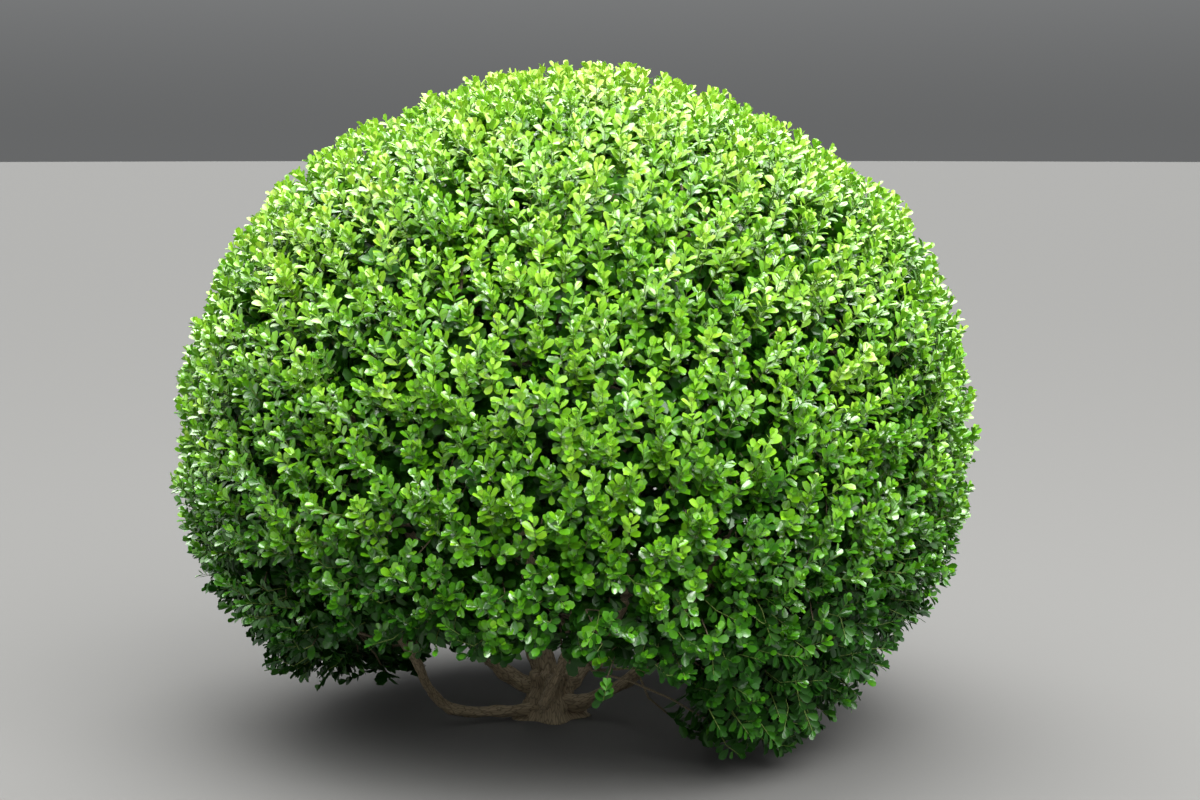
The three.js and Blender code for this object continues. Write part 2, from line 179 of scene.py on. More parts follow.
class Swell(NamedTuple):
    """A bulge or hollow that the shears left: its place and width in degrees, and its height in metres."""

    azimuth: float
    elevation: float
    spread: float
    height: float


@dataclass(frozen=True)
class ClippedSurface:
    """The surface that the shears left, and its hem: a raised front, a dip beside it and two tufts."""

    width: float
    depth: float
    top: float
    offset: float
    waist: float = 0.425
    upper_power: float = 2.1
    lower_power: float = 2.5
    lower_drop: float = 0.445
    hem_height: float = 0.062
    hem_swells: tuple[Swell, ...] = rows_of(
        Swell, (-107, 0, 44, 0.158), (-50, 0, 17, -0.060), (-86.5, 0, 3.4, -0.046), (-103, 0, 4.5, -0.022)
    )
    swells: tuple[Swell, ...] = rows_of(
        Swell,
        (-10, 30, 26, 0.008), (190, 48, 24, -0.010), (5, 58, 18, -0.014),
        (175, 68, 18, -0.012), (-52, -46, 20, 0.060), (-70, -8, 24, 0.012),
        (60, 15, 28, 0.010), (130, 30, 24, -0.010),
    )

    @classmethod
    def round_the(cls, low: Vector, high: Vector) -> ClippedSurface:
        """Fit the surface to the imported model, whose furthest tips touch the box between these corners."""
        return cls(high.x - low.x, high.y - low.y, high.z, (low.x + high.x) / 2)

    @property
    def middle(self) -> Array:
        """The point that distances to the surface are measured from."""
        return np.array([self.offset, 0.0, self.waist])

    def reach(self, directions: Array) -> Array:
        """Measure from the middle to the surface.

        Args:
            directions: Unit vectors along the last axis.

        Returns:
            Distances in metres.
        """
        x, y, z = np.moveaxis(directions, -1, 0)
        level = np.hypot(x / (self.width / 2), y / (self.depth / 2))
        upper = z >= 0
        power = np.where(upper, self.upper_power, self.lower_power)
        rise = np.abs(z) / np.where(upper, self.top - self.waist, self.lower_drop)
        distance = (level**power + rise**power) ** (-1 / power)
        for swell in self.swells:
            cosine = np.clip(directions @ toward(swell.azimuth, swell.elevation), -1, 1)
            away = np.degrees(np.arccos(cosine)) / swell.spread
            distance = distance + swell.height * np.exp(-(away**2))
        return distance

    def within(self, directions: Array, share: Array | float) -> Array:
        """Find the points at a share of the way from the middle to the surface."""
        return self.middle + directions * (self.reach(directions) * share)[..., None]

    def beneath(self, directions: Array, depth: Array | float) -> Array:
        """Find the points at a depth in metres under the surface."""
        return self.middle + directions * (self.reach(directions) - depth)[..., None]

    def outward(self, directions: Array) -> Array:
        """Find which way the surface faces.

        Args:
            directions: Unit vectors, one to a row.

        Returns:
            Unit vectors square to the surface.
        """
        heights = np.where(directions[:, 2] >= 0, self.top - self.waist, self.lower_drop)
        radii = np.stack(np.broadcast_arrays(self.width / 2, self.depth / 2, heights), axis=-1)
        return unit(directions / radii**2)

    def depth_of(self, points: Array) -> Array:
        """Measure how far points lie inside the surface.

        Args:
            points: Places along the last axis.

        Returns:
            Metres, below nothing outside it.
        """
        offsets = points - self.middle
        distances = np.linalg.norm(offsets, axis=-1)
        return self.reach(offsets / distances[..., None]) - distances

    def hem_at(self, azimuth: Array) -> Array:
        """Find the height of the foliage's lower edge at azimuths in degrees."""
        swells = (swell.height * bell(azimuth, swell.azimuth, swell.spread) for swell in self.hem_swells)
        return self.hem_height + sum(swells)


@dataclass(frozen=True)
class Route:
    """A smooth curve through stations, read evenly along its length."""

    stations: tuple[Point, ...]
    fineness: int = 60

    def points(self, count: int) -> Array:
        """Place points evenly along the curve.

        Args:
            count: Number of points, ends included.

        Returns:
            Points, one to a row.
        """
        given = np.array(self.stations, float)
        knots = np.vstack([2 * given[0] - given[1], given, 2 * given[-1] - given[-2]])
        fine = [self._stretch(knots[start : start + 4]) for start in range(len(given) - 1)]
        dense = np.vstack([*fine, given[-1:]])
        lengths = np.concatenate([[0.0], np.cumsum(np.linalg.norm(np.diff(dense, axis=0), axis=1))])
        wanted = np.linspace(0, lengths[-1], count)
        return np.stack([np.interp(wanted, lengths, dense[:, axis]) for axis in range(3)], axis=1)

    def _stretch(self, four: Array) -> Array:
        """Follow the stretch between the middle two of four knots.

        Args:
            four: The knots, one to a row.

        Returns:
            Points by the knots' centripetal spacing, without the last.
        """
        before, middle, after = np.sqrt(np.linalg.norm(np.diff(four, axis=0), axis=1))
        start, end = four[1], four[2]
        leave = (start - four[0]) / before - (end - four[0]) / (before + middle) + (end - start) / middle
        arrive = (end - start) / middle - (four[3] - start) / (middle + after) + (four[3] - end) / after
        leave, arrive = leave * middle, arrive * middle
        share = np.linspace(0, 1, self.fineness, endpoint=False)[:, None]
        square, cube = share**2, share**3
        bend = (-3 * start + 3 * end - 2 * leave - arrive) * square
        return start + leave * share + bend + (2 * start - 2 * end + leave + arrive) * cube


@dataclass(frozen=True)
class Limb:
    """A bough: where it leaves the stool, bends and ends, as distances out and heights."""

    name: str
    side: float
    foot: Span
    knee: Span
    tip: Span
    swing: float
    girth: float
    root: float = 0.012
    tip_swing: float = 3

    def route(self) -> Route:
        """Lay the bough's centre line.

        Returns:
            The line from inside the stool to the bough's tip.
        """
        root, tip = (self.root, self.foot[1], 0), (*self.tip, self.tip_swing)
        places = []
        for out, height, turn in (root, (*self.foot, 0), (*self.knee, self.swing), tip):
            x, y, _ = (toward(self.side + turn, 0) * out).tolist()
            places.append((x, y, height))
        return Route(tuple(places))


@dataclass(frozen=True)
class Leader:
    """The bough that rises through the bare middle to the cap."""

    name: str = "top"
    side: float = 0
    girth: float = 1.35
    path: tuple[Point, ...] = (
        (0, 0, 0.044), (-0.022, 0.010, 0.168), (-0.044, 0.026, 0.347), (0.010, -0.006, 0.560)
    )

    def route(self) -> Route:
        """Lay the leader's centre line."""
        return Route(self.path)


LIMBS: tuple[Limb | Leader, ...] = (
    Limb("front_left", -144, (0.046, 0.015), (0.158, 0.026), (0.258, 0.140), -12, 0.95),
    Limb("front", -84, (0.040, 0.058), (0.168, 0.060), (0.220, 0.160), -7, 0.95),
    Limb("front_right", -24, (0.052, 0.024), (0.150, 0.084), (0.248, 0.232), 9, 1.1),
    Limb("back_right", 36, (0.044, 0.046), (0.142, 0.128), (0.232, 0.262), 9, 1.15),
    Limb("back", 96, (0.052, 0.022), (0.156, 0.096), (0.242, 0.238), 9, 1.1),
    Limb("back_left", 156, (0.046, 0.044), (0.128, 0.112), (0.226, 0.252), 9, 1.2),
    Leader(),
)


def new_object(name: str, data: bpy.types.ID) -> bpy.types.Object:
    """Put a mesh, a light or a camera in the scene.

    Args:
        name: Name of the object.
        data: What it shows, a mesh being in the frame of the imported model.

    Returns:
        The object, at the origin.
    """
    made = bpy.data.objects.new(name, data)
    bpy.context.scene.collection.objects.link(made)
    return made


def finish_piece(piece: bpy.types.Object) -> None:
    """Fix a finished piece to the plant and report it.

    Args:
        piece: The piece.
    """
    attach(piece, BODY)
    LOG.info("%s: %d triangles", piece.name, sum(len(face.vertices) - 2 for face in piece.data.polygons))


class NodeSheet:
    """The nodes of one tree, each added with what stands on its inputs or is joined to them."""

    def __init__(self, tree: bpy.types.NodeTree) -> None:
        """Take the tree that the nodes go into."""
        self.tree = tree

    def node(self, kind: str, entries: Entries | None = None, **settings: object) -> bpy.types.NodeOutputs:
        """Add a node.

        Args:
            kind: Blender's name for the type of node.
            entries: What goes into its inputs, by name or number.
            settings: Values of the node's own properties.

        Returns:
            The node's outputs.
        """
        made = self.tree.nodes.new(kind)
        for key, value in settings.items():
            setattr(made, key, value)
        self.fill(made, entries or {})
        return made.outputs

    def fill(self, node: bpy.types.Node, entries: Entries) -> None:
        """Fill a node's inputs.

        Args:
            node: The node.
            entries: A value or another node's output for each input.
        """
        for key, value in entries.items():
            if isinstance(value, bpy.types.NodeSocket):
                self.tree.links.new(value, node.inputs[key])
            else:
                node.inputs[key].default_value = value

    def sockets(self, way: str, **kinds: str) -> list[str]:
        """Give the tree sockets of its own, and return their identifiers."""
        sockets = self.tree.interface
        return [
            sockets.new_socket(name, in_out=way, socket_type=f"NodeSocket{kind}").identifier
            for name, kind in kinds.items()
        ]


class MaterialSheet(NodeSheet):
    """The nodes of one material, with a Principled shader on its output."""

    def __init__(self, name: str) -> None:
        """Start a material.

        Args:
            name: Name of the material.
        """
        self.material = bpy.data.materials.new(name)
        self.material.use_nodes = True
        super().__init__(self.material.node_tree)

    def finished(self, entries: Entries) -> bpy.types.Material:
        """Fill the shader's inputs, and return the material."""
        self.fill(next(node for node in self.tree.nodes if node.type == "BSDF_PRINCIPLED"), entries)
        return self.material


@dataclass(frozen=True)
class BarkPattern:
    """The bark of box, as a node group: fine plates parted by narrow cracks, on a mottled ground."""

    name: str = "bark_pattern"
    mottle_detail: float = 4
    crack_width: float = 0.14
    plate_height: float = 0.6
    roughest: float = 0.95
    smoothest: float = 0.72

    def build(self) -> bpy.types.NodeTree:
        """Build the group once.

        Returns:
            The group: place, colours and scales go in; colour, roughness and height come out.
        """
        found = bpy.data.node_groups.get(self.name)
        if found:
            return found
        sheet = NodeSheet(bpy.data.node_groups.new(self.name, "ShaderNodeTree"))
        sheet.sockets("INPUT", Place="Vector", Light="Color", Dark="Color", Crack="Color")
        sheet.sockets("INPUT", Plates="Float", Mottle="Float")
        sheet.sockets("OUTPUT", Color="Color", Roughness="Float", Height="Float")
        given = sheet.node("NodeGroupInput")
        entries = {"Vector": given["Place"], "Scale": given["Mottle"], "Detail": self.mottle_detail}
        mottle = sheet.node("ShaderNodeTexNoise", entries)["Fac"]
        entries = {"Vector": given["Place"], "Scale": given["Plates"]}
        plates = sheet.node("ShaderNodeTexVoronoi", entries, feature="DISTANCE_TO_EDGE")["Distance"]
        cracks = sheet.node("ShaderNodeMapRange", {"Value": plates, "From Max": self.crack_width})["Result"]
        entries = {"Factor": mottle, "A": given["Dark"], "B": given["Light"]}
        ground = sheet.node("ShaderNodeMix", entries, data_type="RGBA")["Result"]
        entries = {"Factor": cracks, "A": given["Crack"], "B": ground}
        whole = sheet.node("ShaderNodeMix", entries, data_type="RGBA")["Result"]
        entries = {"Value": mottle, "To Min": self.roughest, "To Max": self.smoothest}
        rough = sheet.node("ShaderNodeMapRange", entries)["Result"]
        entries = {0: cracks, 1: self.plate_height, 2: mottle}
        height = sheet.node("ShaderNodeMath", entries, operation="MULTIPLY_ADD")["Value"]
        sheet.node("NodeGroupOutput", {"Color": whole, "Roughness": rough, "Height": height})
        return sheet.tree


@dataclass(frozen=True)
class BarkFinish:
    """Bark of one age, whose pattern follows the limb's own map or its place in space."""

    name: str
    light: Colour
    dark: Colour
    crack: Colour
    plates: float
    mottle: float
    relief: float
    place: str = "Object"
    stretch: float = 1.0

    def material(self) -> bpy.types.Material:
        """Build the material.

        Returns:
            The material, with its colour, roughness and relief from the bark pattern.
        """
        sheet = MaterialSheet(self.name)
        place = sheet.node("ShaderNodeTexCoord")[self.place]
        stretch = sheet.node("ShaderNodeMapping", {"Vector": place, "Scale": (1, self.stretch, 1)})
        entries = {
            "Place": stretch["Vector"],
            "Light": (*self.light, 1),
            "Dark": (*self.dark, 1),
            "Crack": (*self.crack, 1),
            "Plates": self.plates,
            "Mottle": self.mottle,
        }
        bark = sheet.node("ShaderNodeGroup", entries, node_tree=BarkPattern().build())
        bump = sheet.node("ShaderNodeBump", {"Distance": self.relief, "Height": bark["Height"]})
        entries = {"Base Color": bark["Color"], "Roughness": bark["Roughness"], "Normal": bump["Normal"]}
        return sheet.finished(entries)


@dataclass(frozen=True)
class LeafFinish:
    """A plain leaf green with the waxy gloss of box."""

    name: str
    colour: Colour
    wax: float = 1.0
    wax_roughness: float = 0.22
    wax_density: float = 1.75
    roughness: float = 0.50
    shine: float = 0.2

    def material(self) -> bpy.types.Material:
        """Build the material."""
        entries = {
            "Base Color": (*self.colour, 1),
            "Roughness": self.roughness,
            "Specular IOR Level": self.shine,
            "Coat Weight": self.wax,
            "Coat Roughness": self.wax_roughness,
            "Coat IOR": self.wax_density,
        }
        return MaterialSheet(self.name).finished(entries)


class Tint(Enum):
    """The greens of the leaves, from the old ones inside to the new tips: partly their own colours, partly
    painted light and shade, as darker greens are dealt out deeper in and lower down and lighter ones at the
    top.
    """

    # The two darkest greens are painted shade on the old leaves inside the crown.
    SHADED = LeafFinish("leaf_shaded", (0.010, 0.062, 0.002), 0.12)
    OLD = LeafFinish("leaf_old", (0.023, 0.115, 0.003), 0.30)
    DEEP = LeafFinish("leaf_deep", (0.050, 0.205, 0.003), 0.7)
    GREEN = LeafFinish("leaf_green", (0.086, 0.290, 0.003), wax_roughness=0.20, wax_density=1.80)
    FRESH = LeafFinish("leaf_fresh", (0.142, 0.380, 0.005), wax_roughness=0.21, wax_density=1.82)
    BRIGHT = LeafFinish("leaf_bright", (0.225, 0.490, 0.014), wax_roughness=0.27)
    LIME = LeafFinish("leaf_lime", (0.290, 0.540, 0.022), wax_roughness=0.32)
    YELLOW = LeafFinish("leaf_yellow", (0.370, 0.560, 0.045), wax_roughness=0.32)


class Stem(Enum):
    """The barks of the crown's twigs."""

    WOOD = BarkFinish(
        "twig_bark", (0.27, 0.22, 0.13), (0.16, 0.125, 0.075), (0.08, 0.06, 0.035), 420, 90, 0.0004
    )
    GREEN = BarkFinish(
        "shoot_green", (0.22, 0.32, 0.06), (0.13, 0.21, 0.04), (0.10, 0.15, 0.03), 500, 120, 0.0001
    )


LIMB_BARK = BarkFinish(
    "limb_bark", (0.42, 0.34, 0.21), (0.25, 0.195, 0.12), (0.15, 0.115, 0.07), 300, 70, 0.0006, "UV", 0.22
)


class GrowthTree(NodeSheet):
    """A geometry node tree with a named input, which ends by giving every part its material."""

    def __init__(self, name: str, entry: str, kind: str) -> None:
        """Start a tree.

        Args:
            name: Name of the tree.
            entry: Name of its input beside the geometry.
            kind: Type of that input.
        """
        super().__init__(bpy.data.node_groups.new(name, "GeometryNodeTree"))
        self.identifier = self.sockets("INPUT", Geometry="Geometry", **{entry: kind})[1]
        self.sockets("OUTPUT", Geometry="Geometry")
        self.given = self.node("NodeGroupInput")

    def attribute(self, name: str, kind: str = "FLOAT_VECTOR") -> bpy.types.NodeSocket:
        """Read a named attribute of a type."""
        return self.node("GeometryNodeInputNamedAttribute", {"Name": name}, data_type=kind)["Attribute"]

    def dress(self, geometry: bpy.types.NodeSocket, finishes: type[Enum]) -> None:
        """Realize what was instanced, and give each part the material that its finish attribute counts to.

        Args:
            geometry: Socket of the finished geometry.
            finishes: The finishes in the order in which they are counted.
        """
        geometry = self.node("GeometryNodeRealizeInstances", {"Geometry": geometry})["Geometry"]
        finish = self.attribute("finish", "INT")
        for number, choice in enumerate(finishes):
            entries = {"A": finish, "B": number}
            same = self.node("FunctionNodeCompare", entries, data_type="INT", operation="EQUAL")["Result"]
            entries = {"Geometry": geometry, "Selection": same, "Material": choice.value.material()}
            geometry = self.node("GeometryNodeSetMaterial", entries)["Geometry"]
        self.node("NodeGroupOutput", {"Geometry": geometry})

    def grow(self, name: str, seeds: bpy.types.Mesh, value: object) -> bpy.types.Object:
        """Run the tree on a mesh and keep the result as a plain mesh.

        Args:
            name: Name of the piece.
            seeds: Mesh that the tree starts from.
            value: What its named input is set to.

        Returns:
            The finished piece, with no modifier.
        """
        piece = new_object(name, seeds)
        growth = piece.modifiers.new("growth", "NODES")
        growth.node_group = self.tree
        growth[self.identifier] = value
        graph = bpy.context.evaluated_depsgraph_get()
        grown = bpy.data.meshes.new_from_object(
            piece.evaluated_get(graph), preserve_all_data_layers=True, depsgraph=graph
        )
        piece.modifiers.remove(growth)
        piece.data = grown
        grown.name = name
        for working in WORKING_ATTRIBUTES:
            if working in grown.attributes:
                grown.attributes.remove(grown.attributes[working])
        return piece


def seed_mesh(places: Array, **attributes: Array) -> bpy.types.Mesh:
    """Make a mesh of points that carry what a node tree reads.

    Args:
        places: Points, one to a row.
        attributes: Whole numbers, decimals or vectors, one to a point.

    Returns:
        The mesh.
    """
    mesh = bpy.data.meshes.new("seeds")
    mesh.vertices.add(len(places))
    mesh.vertices.foreach_set("co", places.astype(np.float32).ravel())
    for name, values in attributes.items():
        key, kind, number = "value", "FLOAT", np.float32
        if values.ndim > 1:
            key, kind = "vector", "FLOAT_VECTOR"
        elif values.dtype.kind == "i":
            kind, number = "INT", np.int32
        layer = mesh.attributes.new(name, kind, "POINT")
        layer.data.foreach_set(key, values.astype(number).ravel())
    mesh.update()
    return mesh


@dataclass
class TwigWork:
    """Centre lines of twigs, gathered as chains of points with a radius and a finish."""

    chains: list[tuple[Array, Array, Array]] = field(default_factory=list)

    def add(self, points: Array, girths: tuple[float, ...], finish: Stem = Stem.WOOD) -> None:
        """Add chains of equal count.

        Args:
            points: Chains, points and coordinates, as three axes.
            girths: Radius at each point of a chain.
            finish: Bark of the chains.
        """
        if len(points):
            shape, number = points.shape[:2], list(Stem).index(finish)
            self.chains.append((points, np.broadcast_to(girths, shape), np.full(shape, number)))

    def wire(self) -> bpy.types.Mesh:
        """Make one mesh of points and edges from all the chains.

        Returns:
            The mesh, whose points carry the radius and the finish.
        """
        edges, start = [], 0
        for points, _, _ in self.chains:
            index = start + np.arange(points[..., 0].size).reshape(points.shape[:2])
            edges.append(np.stack([index[:, :-1], index[:, 1:]], axis=-1).reshape(-1, 2))
            start += index.size
        places, girths, finishes = zip(*self.chains)
        mesh = seed_mesh(
            np.concatenate([chain.reshape(-1, 3) for chain in places]),
            girth=np.concatenate([chain.ravel() for chain in girths]),
            finish=np.concatenate([chain.ravel() for chain in finishes]),
        )
        pairs = np.concatenate(edges)
        mesh.edges.add(len(pairs))
        mesh.edges.foreach_set("vertices", pairs.astype(np.int32).ravel())
        mesh.update()
        return mesh


@dataclass(frozen=True)
class LeafBlade:
    """The pattern of a leaf, one long, one wide and one high, which every leaf scales."""

    name: str
    edge: tuple[Point, ...]
    crest: Span | None
    tip: Point = (0.0, 1.0, -0.10)

    def build(self) -> bpy.types.Object:
        """Make the blade: an oval outline, folded along its midrib and bent down at its tip.

        Returns:
            The blade's object, foot at the origin, tip towards +Y and upper face towards +Z.
        """
        right = [(across / 2, along, rise) for along, across, rise in self.edge]
        left = [(-across, along, rise) for across, along, rise in right]
        corners = [(0.0, 0.0, 0.0), *right, self.tip, *reversed(left)]
        rim, side = len(corners), len(right)
        if self.crest:
            corners.append((0.0, *self.crest))
            faces = [(spot, (spot + 1) % rim, rim) for spot in range(rim)]
        else:
            faces = [(0, 1, 2), (0, 2, side + 1), (0, side + 1, side + 2), (0, side + 2, side + 3)]
        mesh = bpy.data.meshes.new(self.name)
        mesh.from_pydata(corners, [], faces, shade_flat=False)
        mesh.update()
        return new_object(self.name, mesh)


OUTER_BLADE = LeafBlade("blade", ((0.24, 0.54, 0.03), (0.57, 1.0, 0.05), (0.87, 0.86, 0.01)), (0.58, -0.05))
INNER_BLADE = LeafBlade("blade_inside", ((0.42, 0.92, 0.05), (0.84, 0.78, 0.03)), None)


class PairOnShoot(NamedTuple):
    """A pair of opposite leaves: how far it lies from the shoot's tip, its size and its angle."""

    from_tip: float
    size: float
    angle: float


class Gap(NamedTuple):
    """A small place where the clipped surface is broken and the twigs show."""

    azimuth: float
    elevation: float
    radius: float
    depth: float


@dataclass(frozen=True)
class CrownShape:
    """Where foliage stands: inside the clipped surface, above the uneven hem, in seven masses."""

    surface: ClippedSurface
    cap_elevation: float = 47
    border_turn: Waves = Waves(0.20, 11, 4)
    border_rise: Waves = Waves(0.20, 12, 4)
    bare_below: float = -57
    hem_sag: float = 0.022
    hem_waves: Waves = Waves(0.13, 9, 0.015)
    lowest_leaf: float = 0.008
    low_stretch: float = 0.30

    def masses(self, directions: Array) -> Array:
        """Tell which mass each direction belongs to.

        Args:
            directions: Unit vectors from the ball's middle, one to a row.

        Returns:
            Numbers that count through the limbs.
        """
        azimuth = azimuth_of(directions) + self.border_turn.at(directions)
        rise = np.degrees(np.arcsin(np.clip(directions[:, 2], -1, 1))) + self.border_rise.at(directions)
        sides = np.array([limb.side for limb in LIMBS[:-1]])
        away = np.abs((azimuth[:, None] - sides + 180) % 360 - 180)
        return np.where(rise > self.cap_elevation, len(sides), away.argmin(axis=1))

    def beside_bare(self, directions: Array) -> Array:
        """Tell which directions miss the bare underside."""
        return directions[:, 2] > math.sin(math.radians(self.bare_below))

    def spread(self, number: int, count: int, turn: float, share: float, drop: float = 0.0) -> Array:
        """Spread directions evenly over a mass's part of the surface.

        Args:
            number: Which limb bears the mass.
            count: Number of directions over the whole sphere.
            turn: Azimuth of the first, in degrees.
            share: Share of the way to the surface at which the height is read.
            drop: How far below the hem still counts.

        Returns:
            Unit vectors, one to a row.
        """
        ways = spiral(count, turn)
        over = self.surface.within(ways, share)[:, 2] > self.surface.hem_at(azimuth_of(ways)) - drop
        return ways[(self.masses(ways) == number) & self.beside_bare(ways) & over]

    def clear_of_hem(self, points: Array) -> Array:
        """Tell which points lie above the uneven hem and beside the bare underside.

        Args:
            points: Places, one to a row.

        Returns:
            True or False for each.
        """
        ways = unit(points - self.surface.middle)
        hem = self.surface.hem_at(azimuth_of(ways)) - self.hem_sag + self.hem_waves.at(points)
        return self.beside_bare(ways) & (points[:, 2] > np.maximum(hem, self.lowest_leaf))

    def lowness(self, directions: Array) -> Array:
        """Tell how far down the surface is, from 0 above the waist to 1 near the ground."""
        heights = self.surface.within(directions, 1.0)[:, 2]
        return np.clip((self.surface.waist - heights) / self.low_stretch, 0, 1)


@dataclass
class Growth:
    """What grows in one mass, with its own source of uneven values."""

    shape: CrownShape
    number: int
    random: Random
    bow: float = 0.22
    bow_scale: float = 2.6
    kink: float = 0.035

    def bent(self, starts: Array, ends: Array, leaving: Array, count: int) -> Array:
        """Join points by gently crooked chains.

        Args:
            starts: Where the chains begin.
            ends: Where they end.
            leaving: Direction in which they set off.
            count: Points in a chain.

        Returns:
            Chains, points and coordinates, as three axes.
        """
        share = np.linspace(0, 1, count)[None, :, None]
        span = ends - starts
        length = np.linalg.norm(span, axis=1)[:, None, None]
        bow = leaving * length * self.bow * share * (1 - share) ** 2 * self.bow_scale
        kink = self.random.normal(0, self.kink, (len(starts), count, 3)) * length * share * (1 - share) * 4
        return starts[:, None] + span[:, None] * share + bow + kink

    @staticmethod
    def nearest(points: Array, others: Array) -> Array:
        """Find the nearest of the others to each point, as their numbers."""
        return np.linalg.norm(points[:, None] - others[None], axis=-1).argmin(axis=1)


@dataclass
class TwigGrowth(Growth):
    """A mass's stem, its arms and the twigs on them."""

    line_points: int = 60
    seat: float = 0.0003
    arm_foot: float = 0.026
    stem_length: float = 0.034
    stem_girth: float = 0.0066
    stem_taper: tuple[float, ...] = (1, 0.96, 0.7)
    arm_share: float = 0.77
    side_arms: tuple[Span, ...] = ((-15, -14), (0, 18), (15, -14))
    cap_arms: tuple[Span, ...] = ((20, 66), (140, 66), (260, 66))
    arm_girths: tuple[float, ...] = (0.0060, 0.0057, 0.0054, 0.0051, 0.0048, 0.0044, 0.0038)
    twig_directions: int = 128
    twig_turn: float = 34
    foot_share: float = 0.78
    tip_share: float = 0.88
    tip_unevenness: float = 0.02
    droop: float = 0.16
    inner_points: int = 5
    outer_points: int = 3
    twig_girths: tuple[float, ...] = (0.0042, 0.0037, 0.0034, 0.0031, 0.0028, 0.0023, 0.0018)

    def arm_ends(self) -> Array:
        """Find where the arms of the mass end.

        Returns:
            Points inside its shell, one to a row.
        """
        limb = LIMBS[self.number]
        turns, rises = np.array(self.cap_arms if isinstance(limb, Leader) else self.side_arms).T
        return self.shape.surface.within(toward(limb.side + turns, rises), self.arm_share)

    def grow(self) -> tuple[TwigWork, Array]:
        """Grow the stem, the arms and the twigs.

        Returns:
            The work so far, and the points from which branchlets may leave.
        """
        work, limb, surface = TwigWork(), LIMBS[self.number], self.shape.surface
        line = limb.route().points(self.line_points)
        onward = unit(line[-1] - line[-2])
        stem = line[-1] + onward * np.array([[self.seat], [self.arm_foot], [self.stem_length]])
        work.add(stem[None], tuple(self.stem_girth * limb.girth * taper for taper in self.stem_taper))
        ends = self.arm_ends()
        foot = np.repeat(stem[1:2], len(ends), axis=0)
        work.add(self.bent(foot, ends, onward, len(self.arm_girths)), self.arm_girths)
        ways = self.shape.spread(self.number, self.twig_directions, self.twig_turn, self.tip_share)
        elbows = surface.within(unit(ways - UP * self.droop), self.foot_share)
        tips = surface.within(ways, self.tip_share - self.tip_unevenness * self.random.random(len(ways)))
        inner = self.bent(ends[self.nearest(elbows, ends)], elbows, onward, self.inner_points)
        outer = self.bent(elbows, tips, onward, self.outer_points)
        twigs = np.concatenate([inner, outer[:, 1:]], axis=1)
        work.add(twigs, self.twig_girths)
        return work, np.concatenate([twigs[:, 2:].reshape(-1, 3), ends])


@dataclass
class Shoots:
    """Bent leafy shoots, one to a row of each array."""

    ways: Array
    depth: Array
    low: Array
    spray: Array
    outward: Array
    length: Array
    tip: Array
    elbow: Array
    foot: Array

    def only(self, kept: Array) -> Shoots:
        """Keep some of the shoots."""
        return Shoots(*(getattr(self, part.name)[kept] for part in fields(self)))

    def at(self, share: Array | float) -> Array:
        """Find their points at a share of the way from tip to foot."""
        share = np.asarray(share)[..., None]
        return self.tip * (1 - share) ** 2 + self.elbow * 2 * share * (1 - share) + self.foot * share**2


@dataclass
class LeafWork:
    """Opposite pairs of leaves, set on shoots and gathered for one piece."""

    shape: CrownShape
    random: Random
    length: float = 0.0174
    width: float = 0.0100
    leafy_depth: float = 0.125
    face_wobble: float = 0.12
    widths: Span = (0.90, 1.10)
    cuppings: Span = (0.5, 1.5)
    tint_wobble: float = 0.5
    angle_wobble: float = 8
    sizes: Span = (0.80, 1.14)
    turn_wobble: float = 0.16
    rows: list[tuple[Array, ...]] = field(default_factory=list)

    def set_pair(
        self, pair: PairOnShoot, place: Array, stem: Array, turn: Array,
        light: Array, pull: Array, youth: Array,
    ) -> None:
        """Set two leaves on each stem, where they stay inside the surface and off the ground.

        Args:
            pair: Size of the leaves, and their angle to the shoot in degrees.
            place: Where they are joined.
            stem: Direction of the shoot there.
            turn: Bearing of the first round the shoot, in radians.
            light: Direction that they turn to.
            pull: How strongly they turn.
            youth: How young they are and how lit they are painted, which picks their green.
        """
        random, count, surface, steps = self.random, len(place), self.shape.surface, len(Tint) - 1
        flank, other = square_to(stem)
        turn = turn + random.normal(0, self.turn_wobble, count)
        for bearing in (turn, turn + math.pi):
            angle = np.radians(pair.angle + random.normal(0, self.angle_wobble, count))[:, None]
            size = pair.size * random.uniform(*self.sizes, count) * self.length
            out = flank * np.cos(bearing)[:, None] + other * np.sin(bearing)[:, None]
            along = stem * np.cos(angle) + out * np.sin(angle)
            face = stem * np.sin(angle) - out * np.cos(angle)
            face = face + light * pull[:, None] + random.normal(0, self.face_wobble, face.shape)
            face = unit(face - along * (face * along).sum(1, keepdims=True))
            spread = random.uniform(*self.widths, count) * self.width / self.length
            form = np.stack([size * spread, size, size * random.uniform(*self.cuppings, count)], axis=1)
            # The green steps with age and with painted light; its darker steps are painted shade.
            tint = np.round(youth * steps + random.normal(0, self.tint_wobble, count))
            tips = place + along * size[:, None]
            fits = (surface.depth_of(tips) > 0) & (surface.depth_of(place) < self.leafy_depth)
            fits = fits & self.shape.clear_of_hem(tips) & self.shape.clear_of_hem(place)
            row = (place, along, face, form, np.clip(tint, 0, steps).astype(int))
            self.rows.append(tuple(values[fits] for values in row))

    def points(self) -> bpy.types.Mesh:
        """Make one mesh of loose points, with all that a leaf needs as attributes."""
        places, along, face, form, finish = (np.concatenate(column) for column in zip(*self.rows))
        return seed_mesh(places, along=along, face=face, form=form, finish=finish)


